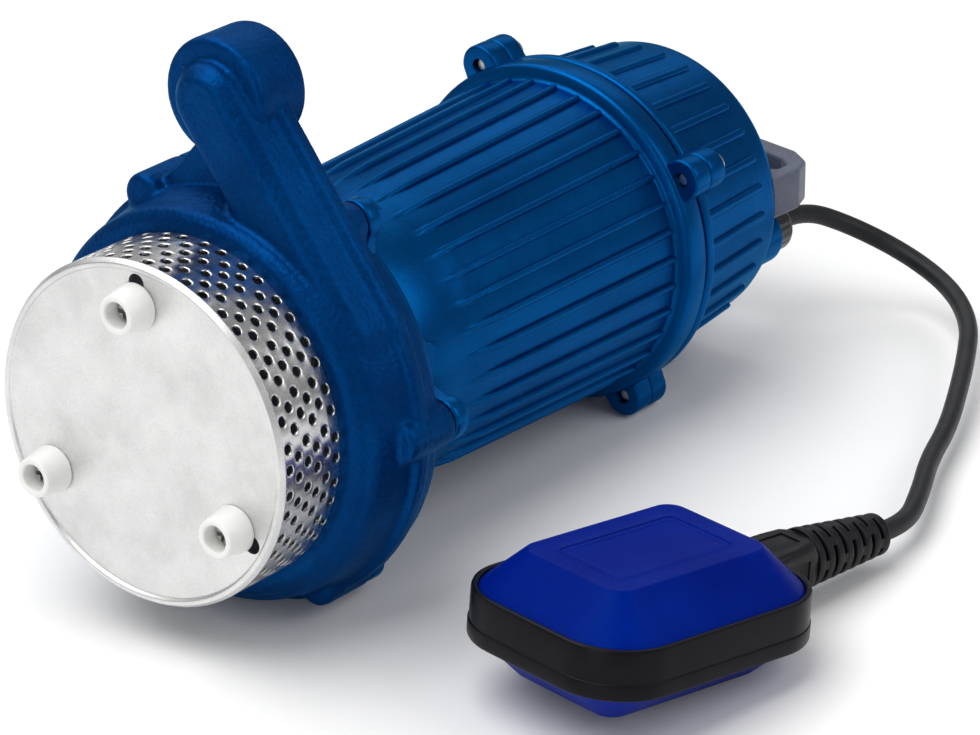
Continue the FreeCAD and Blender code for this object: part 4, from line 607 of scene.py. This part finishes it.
def ribbed(profile, rib_x0, rib_x1, count, first, half, proud, taper):
    """turned surface with ribs; profile is (x, radius), the ribs run from rib_x0 to rib_x1, are
    2 * half wide and proud high, and rise over the length taper where it isn't 0"""
    pitch = 360.0 / count
    angles = []
    for k in range(count):
        mid = first + pitch * k
        for u in (-1.25, -1.0, -0.86, -0.5, 0.0, 0.5, 0.86, 1.0, 1.25):
            angles.append((mid + math.degrees(u * half / RIB_R), abs(u)))
        for share in (0.36, 0.5, 0.64):
            angles.append((mid + pitch * share, 9.0))
    stations = []
    for low, high in zip(profile, profile[1:]):
        stations.append(low)
        if low[0] > rib_x1 or high[0] < rib_x0:
            continue
        steps = max(1, int((high[0] - low[0]) / STATION_STEP))
        for s in range(1, steps):
            t = s / steps
            stations.append((low[0] + (high[0] - low[0]) * t, low[1] + (high[1] - low[1]) * t))
    stations.append(profile[-1])
    extra = [rib_x0 + d for d in ((3, 6, 10, 14, 18, 22) if taper else (0.0, 0.2, 0.6, 1.1, 1.8))]
    extra += [rib_x1 - half * d for d in (1.0, 0.6, 0.3, 0.1, 0.0)]
    for x in extra:
        for low, high in zip(stations, stations[1:]):
            if low[0] < x - 1e-3 and high[0] > x + 1e-3:
                t = (x - low[0]) / (high[0] - low[0])
                stations.insert(stations.index(high), (x, low[1] + (high[1] - low[1]) * t))
                break
    verts, faces, rings = [], [], []
    for x, radius in stations:
        if radius < 1e-6:
            rings.append([len(verts)])
            verts.append((x, 0.0, 0.0))
            continue
        width, sunk = 0.0, 0.0
        if rib_x0 < x < rib_x1:
            nose = (rib_x0 + half - x) / half
            width = math.sqrt(max(0.0, 1.0 - max(0.0, nose) ** 2))
            if taper:
                width, sunk = 1.0, max(0.0, 1.0 - (x - rib_x0) / taper)
            tip = (x - (rib_x1 - half)) / half
            if tip > 0:
                width *= math.sqrt(max(0.0, 1.0 - tip * tip))
        ring = []
        for angle, share in angles:
            rise = 0.0
            if width > 0.05 and share < width:
                crown = math.sqrt(1.0 - (share / width) ** 4)
                rise = proud * max(0.0, crown - sunk) * min(1.0, width * 1.3)
            y, z = polar(radius + rise, angle)
            ring.append(len(verts))
            verts.append((x, y, z))
        rings.append(ring)
    for low, high in zip(rings, rings[1:]):
        link_rings(faces, low, high)
    return verts, faces


LUG_ANGLES = (60.0, 150.0, 240.0, 330.0)
LUG_CIRCLE_R, LUG_R = 73.6, 8.5


def round_nose(centre_r, radius, first):
    """half an ear's outline, (radial, tangential), round its nose up to the tip"""
    nose = []
    for k in range(first, 8):
        a = PI / 2 - PI / 2 * k / 8
        nose.append((centre_r + radius * math.cos(a), radius * math.sin(a)))
    return nose


def ear_prism(half, tip, x0, depth, angle):
    outline = half + [(tip, 0.0)] + [(r, -t) for r, t in reversed(half)]
    return turned(prism([(x0, r, t) for r, t in outline], (depth, 0, 0)), angle)


def drilled_lugs(name, x0, x1, hole_r, depth_from, depth_to):
    """screw lugs whose feet flare into the ring"""
    half = [(63.0, 13.0), (66.5, 10.6), (69.6, 9.1), (LUG_CIRCLE_R, LUG_R)]
    half += round_nose(LUG_CIRCLE_R, LUG_R, 1)
    lugs = [ear_prism(half, LUG_CIRCLE_R + LUG_R, x0, x1 - x0, angle) for angle in LUG_ANGLES]
    made = mesh_object(name, merged(lugs), PUMP)
    bevelled(made, 1.3)
    hole = [(depth_from, 0), (depth_from, hole_r), (depth_to, hole_r), (depth_to, 0)]
    cut_away(made, [mesh_object("drill", lathe(hole, 32, *polar(LUG_CIRCLE_R, angle)), PUMP)
                    for angle in LUG_ANGLES])
    shown(made, "pump", BODY_BLUE, 40)


PLUG_ANGLE, PLUG_X = 165.0, 93.0


def housing():
    bulge = [(84 + 29 * (1 - math.cos(PI / 2 * k / 10)), 49 + 11 * math.sin(PI / 2 * k / 10))
             for k in range(11)]
    front = soften([(FLANGE_X, 66), (FLANGE_X, 73), (84, 73), (84, 49.0)], 1.4, 4)[:-1]
    profile = [(FLANGE_X, 50.0)] + front + [(84.0, 52.5), (84.8, 49.9)]
    profile += [p for p in bulge if p[0] > 85.5]
    profile += [(119.5, 60.2), (126, 60.7), (250.5, 65.0), (251.6, 65.5), (252.2, 67.0),
                (252.6, 70.0), (253.4, 71.0), (254.8, 71.4), (262.6, 71.4), (263.5, 71.0),
                (264.1, 70.0), (264.4, 68.6), (264.4, 60.5)]
    body = ribbed(profile, 119.0, 250.0, count=36, first=65.0, half=1.6, proud=2.0, taper=22.0)
    made = mesh_object("motor_body", body, PUMP)
    shown(made, "pump", BODY_BLUE, 48, ("motor_housing",))
    half = [(66, 15), (72.5, 11.0), (76.5, 8.9)] + round_nose(BOLT_CIRCLE_R, 8.5, 0)
    ears = [ear_prism(half, BOLT_CIRCLE_R + 8.5, FLANGE_X, 7, angle) for angle in BOLT_ANGLES]
    made = bevelled(mesh_object("flange_ears", merged(ears), PUMP), 1.4)
    shown(made, "pump", BODY_BLUE, 40)
    drilled_lugs("housing_lugs", 255.0, 264.9, 3.1, 250.0, 261.5)
    boss = lathe(soften([(40, 0), (40, 8.6), (52, 7.9), (60, 7.5), (60, 0)], 1.2, 4), 48)
    head = [(58, 0.0), (58, 5.4, hexagonal), (64.2, 5.4, hexagonal), (65, 4.6), (65, 0.0)]
    out = Matrix.Rotation(math.radians(PLUG_ANGLE), 4, "X")
    out = out @ Matrix.Translation((PLUG_X, 0, 0)) @ Matrix.Rotation(PI / 2, 4, "Z")
    made = mesh_object("oil_plug_boss", moved(boss, out), PUMP)
    shown(made, "pump", BODY_BLUE, 40)
    made = mesh_object("oil_plug_head", moved(lathe(head, 48), out), PUMP)
    shown(made, "pump", BODY_BLUE, 30, ("oil_plug",))


def bolts():
    head = [(80, 0), (80, 3.0), (84.6, 3.0), (84.6, 5.0, hexagonal), (88.3, 5.0, hexagonal),
            (89, 4.4), (89, 0)]
    washer = soften([(83.9, 0), (83.9, 6.6), (84.8, 6.6), (84.8, 0)], 0.3, 3)
    places = [polar(BOLT_CIRCLE_R, angle) for angle in BOLT_ANGLES]
    parts = [lathe(head, 48, *place) for place in places]
    parts += [lathe(washer, 48, *place) for place in places]
    made = mesh_object("casing_bolt_heads", merged(parts), PUMP)
    shown(made, "pump", BODY_BLUE, 30, ("casing_bolts",))
    cap = [(262, 0), (262, 2.5), (275, 2.5)] + soften([(275, 4.5), (280, 4.5), (280, 2.7)], 0.5, 3)
    cap += [(280, 2.2, hexagonal), (277.2, 2.2, hexagonal), (277.0, 0)]
    tip = soften([(257.2, 0), (257.2, 2.5), (262.5, 2.5), (262.5, 0)], 0.6, 3)
    parts = []
    for angle in LUG_ANGLES:
        y, z = polar(LUG_CIRCLE_R, angle)
        parts += [lathe(cap, 48, y, z), lathe(tip, 32, y, z)]
    made = mesh_object("cover_cap_screws", merged(parts), PUMP)
    shown(made, "pump", SCREW_STEEL, 30, ("cover_screws",))


GLANDS = ((-44.0, -17.0), (44.0, -17.0))
COVER_END_X, COVER_ROUND = 333.0, 6.5


def cover_rim(centre_r):
    """the end cover's rounded edge, from its side to its end face"""
    return [(COVER_END_X - COVER_ROUND + COVER_ROUND * math.sin(PI / 2 * k / 8),
             centre_r + COVER_ROUND * math.cos(PI / 2 * k / 8)) for k in range(1, 9)]


def top_cover():
    profile = [(265.8, 60.0), (265.8, 68.6), (266.0, 69.8), (266.5, 70.6), (267.3, 71.0)]
    profile += soften([(267.9, 71.0), (270.0, 71.0), (270.2, 66.4), (271.0, 65.0)], 0.6, 3)
    profile += [(276.0, 64.6), (COVER_END_X - COVER_ROUND, 60.8)] + cover_rim(54.3)
    profile += [(COVER_END_X, 30.0), (COVER_END_X, 0.0)]
    body = ribbed(profile, 272.5, 319.5, count=32, first=65.625, half=1.9, proud=1.6, taper=0.0)
    made = mesh_object("end_cover", body, PUMP)
    shown(made, "pump", BODY_BLUE, 48, ("top_cover",))
    drilled_lugs("cover_lugs", 265.1, 275.0, 2.7, 264.0, 276.0)
    boss = soften([(318, 0), (318, 13), (342, 13), (342, 9), (348, 9), (348, 0)], 2.4, 5)
    root = soften([(318, 0), (318, 15), (336, 14), (336, 0)], 3.0, 5)
    bosses = []
    for y, z in GLANDS:
        inward = Vector((0, y, z)).normalized() * -3
        bosses += [lathe(boss, 72, y, z), lathe(root, 72, y + inward.y, z + inward.z)]
    shown(mesh_object("gland_bosses", merged(bosses), PUMP), "pump", BODY_BLUE, 40)


def knurled(a):
    return 1.0 - 0.03 * (0.5 + 0.5 * math.cos(20 * a))


def glands():
    nut = [(342.1, 7.2), (342.1, 11.0, knurled), (350.0, 11.0, knurled), (351.4, 10.9),
           (352.3, 10.5), (352.9, 9.6), (353.0, 8.6), (352.6, 7.6), (351.5, 7.1)]
    sleeve = [(340, 0), (340, 7.0), (357, 7.0), (357, 4.2), (355.5, 4.0), (355.5, 0)]
    sleeve = soften(sleeve, 1.0, 4)
    nuts = merged([lathe(nut, 120, y, z, closed=True) for y, z in GLANDS])
    sleeves = merged([lathe(sleeve, 64, y, z) for y, z in GLANDS])
    made = mesh_object("gland_nut_pair", nuts, PUMP)
    shown(made, "pump", NUT_GREY, 40, ("gland_nuts",))
    made = mesh_object("grommet_pair", sleeves, PUMP)
    shown(made, "pump", RUBBER, 40, ("cord_grommets",))


HANDLE_Z0, HANDLE_HEIGHT = -4.5, 18.0
HANDLE_SCREW_Y, HANDLE_SCREW_Z = 50.5, 1.0


def mirrored(points):
    """outline that ends on the y = 0 line, with its other half"""
    return points + [(-y, x) for y, x in reversed(points[:-1])]


def handle():
    outer = mirrored([(-59.5, -4.5), (-60.5, 14), (-57, 24.5), (-47.5, 31.5), (-25.2, 36), (0, 38)])
    inner = mirrored([(46, -1), (46, 8), (52.6, 8.2), (52.6, 16), (47, 20.5), (23.5, 27), (0, 29)])
    outline = soften(outer, 5.5, 6) + soften(inner, 2.6, 5)
    points = [(COVER_END_X + x, y, HANDLE_Z0) for y, x in outline]
    made = mesh_object("lifting_handle", prism(points, (0, 0, HANDLE_HEIGHT)), PUMP)
    bevelled(made, 2.2)
    counterbore = [(341, 0), (341, 4.0), (380, 4.0), (380, 0)]
    cutters = []
    for side in (-1, 1):
        bore = lathe(counterbore, 40, HANDLE_SCREW_Y * side, HANDLE_SCREW_Z)
        cutters.append(mesh_object("counterbore", bore, PUMP))
    cover_end = [(300.0, 0.0), (300.0, 62.4), (COVER_END_X - COVER_ROUND, 60.9)] + cover_rim(54.4)
    cover_end.append((COVER_END_X, 0.0))
    cutters.append(mesh_object("cover_seat", lathe(cover_end, 120), PUMP))
    cut_away(made, cutters)
    shown(made, "pump", HANDLE_GREY, 40, ("carry_handle",))


# float switch

def corner_ring(half_x, half_y, radius, z, steps=9):
    """rounded rectangle with half sizes half_x and half_y"""
    points = []
    for sx, sy, start in ((1, 1, 0), (-1, 1, 90), (-1, -1, 180), (1, -1, 270)):
        cx, cy = sx * (half_x - radius), sy * (half_y - radius)
        for k in range(steps + 1):
            a = math.radians(start + 90.0 * k / steps)
            points.append((cx + radius * math.cos(a), cy + radius * math.sin(a), z))
    return points


def lofted(rings, closed=False):
    verts, faces, made = [], [], []
    for ring in rings:
        made.append(list(range(len(verts), len(verts) + len(ring))))
        verts += ring
    for low, high in zip(made, made[1:]):
        link_rings(faces, low, high)
    if closed:
        link_rings(faces, made[-1], made[0])
    else:
        faces += [tuple(reversed(made[0])), tuple(made[-1])]
    return verts, faces


def float_shell(name, turn, replaces):
    """skirt, sloping roof, soft plateau edge and a shallow panel"""
    profile = soften([(20.9, 0.0), (23.9, 0.0), (23.9, 8.6), (7.0, 24.7), (1.0, 24.7)], 2.2, 6)
    rings = [corner_ring(31.5 + c, 19.0 + c, max(0.6, c), z) for c, z in profile]
    panel = ((29.6, 17.0, 3.4, 24.7), (29.1, 16.5, 3.0, 24.55), (28.8, 16.2, 2.8, 24.1),
             (28.2, 15.6, 2.4, 23.9), (27.0, 14.4, 1.8, 23.9), (26.6, 14.0, 1.6, 24.1),
             (25.6, 13.0, 1.2, 24.15))
    rings += [corner_ring(*step) for step in panel]
    made = mesh_object(name, moved(lofted(rings), Matrix.Rotation(turn, 4, "X")), FLOAT)
    shown(made, "float", FLOAT_BLUE, 32, replaces)


def float_band():
    def ring(inset, z):
        return corner_ring(58.5 - inset, 46.0 - inset, 27.0 - inset, z, 14)

    profile = [(0.9, -9.8), (0.35, -9.5), (0.0, -8.7), (0.0, -3.6), (0.12, -3.3), (0.45, -3.1),
               (0.5, 8.4), (0.8, 9.4), (1.5, 9.8), (2.4, 9.8), (3.0, 9.3), (3.0, -9.4), (2.6, -9.8)]
    rings = [ring(c, z) for c, z in profile]
    made = mesh_object("float_rim", lofted(rings, closed=True), FLOAT)
    shown(made, "float", FLOAT_BLACK, 40, ("float_band",))


def boot_section(x, half_y, half_z, radius):
    return [(x, p[0], p[1]) for p in corner_ring(half_y, half_z, radius, 0.0, 8)]


BOOT_RIBS, BOOT_RIB_X0, BOOT_END_X = 8, 83.0, 128.0


def boot_collar():
    sections = [(49, 8, 8, 7.9), (58.6, 8, 8, 7.9), (58.7, 11.2, 8.6, 2.6), (59.3, 12.0, 9.2, 3.0),
                (72.0, 11.3, 9.8, 3.0), (80.0, 11.0, 10.3, 4.5), (82.6, 10.8, 10.4, 7.5),
                (83.0, 10.2, 10.2, 8.5), (83.4, 10.2, 10.2, 10.1)]
    made = mesh_object("boot_collar", lofted([boot_section(*s) for s in sections]), FLOAT)
    cutters = []
    for k in range(4):
        reach, half = (9.4, 5.6) if k % 2 == 0 else (10.6, 4.6)
        pocket = prism([(63.5, -half, reach - 0.6), (78.0, -half + 0.6, reach - 0.2),
                        (78.0, half - 0.6, reach - 0.2), (63.5, half, reach - 0.6)], (0, 0, 6.0))
        cutters.append(mesh_object("pocket", turned(pocket, 90.0 * k), FLOAT))
    cut_away(made, cutters)
    bevelled(made, 0.5, 2)
    shown(made, "float", RUBBER, 40, ("float_boot",))
    return made


def boot_tail():
    """tapering core with ribs round it, and short bridges from rib to rib"""
    core = [(80.0, 0.0), (80.0, 9.0), (BOOT_RIB_X0 + 3, 9.2), (BOOT_END_X - 2, 5.9),
            (BOOT_END_X - 0.2, 5.4), (BOOT_END_X, 4.8), (BOOT_END_X, 0.0)]
    parts = [lathe(soften(core, 0.6, 3), 64)]
    pitch = (BOOT_END_X - BOOT_RIB_X0) / BOOT_RIBS
    width = pitch - 2.0
    for k in range(BOOT_RIBS):
        x = BOOT_RIB_X0 + pitch * k
        radius = 11.8 - 3.4 * k / (BOOT_RIBS - 1.0)
        ring = [(x, radius - 3.6), (x, radius), (x + width, radius), (x + width, radius - 3.6)]
        parts.append(lathe(soften(ring, 0.9, 4, closed=True), 64, closed=True))
        if k == BOOT_RIBS - 1:
            continue
        low = radius - 0.7 - 4
        bridge = prism([(x + width - 0.5, -1.8, low), (x + pitch + 0.5, -1.8, low),
                        (x + pitch + 0.5, 1.8, low), (x + width - 0.5, 1.8, low)], (0, 0, 4))
        parts += [turned(bridge, 90.0 * turn + 45.0 * (k % 2)) for turn in range(4)]
    made = mesh_object("boot_tail", merged(parts), FLOAT)
    shown(made, "float", RUBBER, 40)
    return made


# float cord, in metres

CORD_POINTS = (
    (0.1763, -0.0440, 0.0507), (0.1943, -0.0440, 0.0497), (0.2148, -0.0548, 0.0376),
    (0.2240, -0.0783, 0.0260), (0.2170, -0.1048, 0.0192), (0.1977, -0.1257, 0.0158),
    (0.1720, -0.1396, 0.0138), (0.1455, -0.1519, 0.0114), (0.1188, -0.1633, 0.0097),
    (0.0911, -0.1721, 0.0098), (0.0647, -0.1846, 0.0105), (0.0396, -0.1940, 0.0104),
    (0.0243, -0.1912, 0.0125),
)
CORD_R = 0.004
CORD_SIDES = 28


def cord_path():
    curve = bpy.data.curves.new("cord_line", "CURVE")
    curve.dimensions = "3D"
    spline = curve.splines.new("NURBS")
    spline.points.add(len(CORD_POINTS) - 1)
    for point, place in zip(spline.points, CORD_POINTS):
        point.co = (*place, 1.0)
    spline.order_u = 3
    spline.use_endpoint_u = True
    spline.resolution_u = 12
    line = bpy.data.objects.new("cord_line", curve)
    bpy.context.scene.collection.objects.link(line)
    bpy.context.view_layer.update()
    graph = bpy.context.evaluated_depsgraph_get()
    mesh = bpy.data.meshes.new_from_object(line.evaluated_get(graph))
    path = [v.co.copy() for v in mesh.vertices]
    bpy.data.objects.remove(line)
    return path


def float_cord(boot):
    path = cord_path()
    verts, rings = [], []
    side = Vector((0, 0, 1))
    for k, here in enumerate(path):
        ahead = path[min(k + 1, len(path) - 1)] - path[max(k - 1, 0)]
        ahead.normalize()
        side = (side - ahead * side.dot(ahead)).normalized()
        other = ahead.cross(side)
        ring = []
        for s in range(CORD_SIDES):
            a = 2 * PI * s / CORD_SIDES
            ring.append(len(verts))
            verts.append(tuple(here + side * math.cos(a) * CORD_R + other * math.sin(a) * CORD_R))
        rings.append(ring)
    faces = [tuple(reversed(rings[0])), tuple(rings[-1])]
    for low, high in zip(rings, rings[1:]):
        link_rings(faces, low, high)
    made = mesh_object("float_lead", (verts, faces), Matrix.Identity(4))
    made.data.shade_smooth()
    made.data.set_sharp_from_angle(angle=math.radians(60))
    made.data.materials.append(CORD_RUBBER)
    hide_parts("float_cord")
    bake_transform(made)


# studio, in metres

FLOOR = 6.0
FLOOR_WHITE = 0.95
SKY_STRENGTH = 0.3
AIM = Vector((0.0, -0.03, 0.08))
LAMPS = (  # name, place, size, power in watts
    ("key", (-0.7, 0.3, 1.9), 2.0, 32.0),
    ("top", (0.5, 1.2, 1.5), 1.5, 9.0),
    ("front", (-1.8, -0.4, 0.5), 0.9, 4.0),
    ("side", (0.5, -1.5, 1.2), 1.4, 9.0),
    ("rim", (1.4, 0.5, 1.3), 1.2, 3.0),
)


def studio():
    floor_mesh = bpy.data.meshes.new("floor")
    corners = [(x * FLOOR, y * FLOOR, 0) for x, y in ((-1, -1), (1, -1), (1, 1), (-1, 1))]
    floor_mesh.from_pydata(corners, [], [(0, 1, 2, 3)])
    floor = bpy.data.objects.new("floor", floor_mesh)
    bpy.context.scene.collection.objects.link(floor)
    pale = bpy.data.materials.new("pale_floor")
    pale.use_nodes = True
    shader = pale.node_tree.nodes["Principled BSDF"]
    shader.inputs["Base Color"].default_value = (FLOOR_WHITE, FLOOR_WHITE, FLOOR_WHITE, 1.0)
    shader.inputs["Roughness"].default_value = 0.9
    shader.inputs["Specular IOR Level"].default_value = 0.1
    floor_mesh.materials.append(pale)
    world = bpy.data.worlds.new("studio")
    world.use_nodes = True
    sky = world.node_tree.nodes["Background"]
    sky.inputs["Color"].default_value = (1.0, 1.0, 1.0, 1.0)
    sky.inputs["Strength"].default_value = SKY_STRENGTH
    bpy.context.scene.world = world
    for name, place, size, power in LAMPS:
        light = bpy.data.lights.new(name, "AREA")
        light.shape = "DISK"
        light.size = size
        light.energy = power
        lamp = bpy.data.objects.new(name, light)
        lamp.location = place
        lamp.rotation_euler = (AIM - Vector(place)).to_track_quat("-Z", "Y").to_euler()
        bpy.context.scene.collection.objects.link(lamp)


# the camera that was fitted to the photograph

LENS_MM = 165.47
CAMERA_AT = (-1.26794, -1.01021, 0.82178)
CAMERA_RIGHT = (0.60096, -0.79862, -0.03235)
CAMERA_AHEAD = (0.71141, 0.55291, -0.43381)


def camera():
    lens = bpy.data.cameras.new("camera")
    lens.sensor_fit = "HORIZONTAL"
    lens.sensor_width = 36.0
    lens.lens = LENS_MM
    lens.clip_start = 0.05
    lens.clip_end = 30.0
    seen = bpy.data.objects.new("camera", lens)
    right = Vector(CAMERA_RIGHT).normalized()
    ahead = Vector(CAMERA_AHEAD).normalized()
    up = right.cross(ahead).normalized()
    right = ahead.cross(up).normalized()
    turn = Matrix((right, up, -ahead)).transposed().to_4x4()
    turn.translation = Vector(CAMERA_AT)
    seen.matrix_world = turn
    bpy.context.scene.collection.objects.link(seen)
    bpy.context.scene.camera = seen


bpy.context.scene.view_settings.view_transform = "Standard"
camera()
studio()
strainer()
feet()
casing()
housing()
bolts()
top_cover()
glands()
handle()
float_shell("float_top", 0.0, ("float_upper_shell",))
float_shell("float_base", PI, ("float_lower_shell",))
float_band()
float_cord((boot_collar(), boot_tail()))
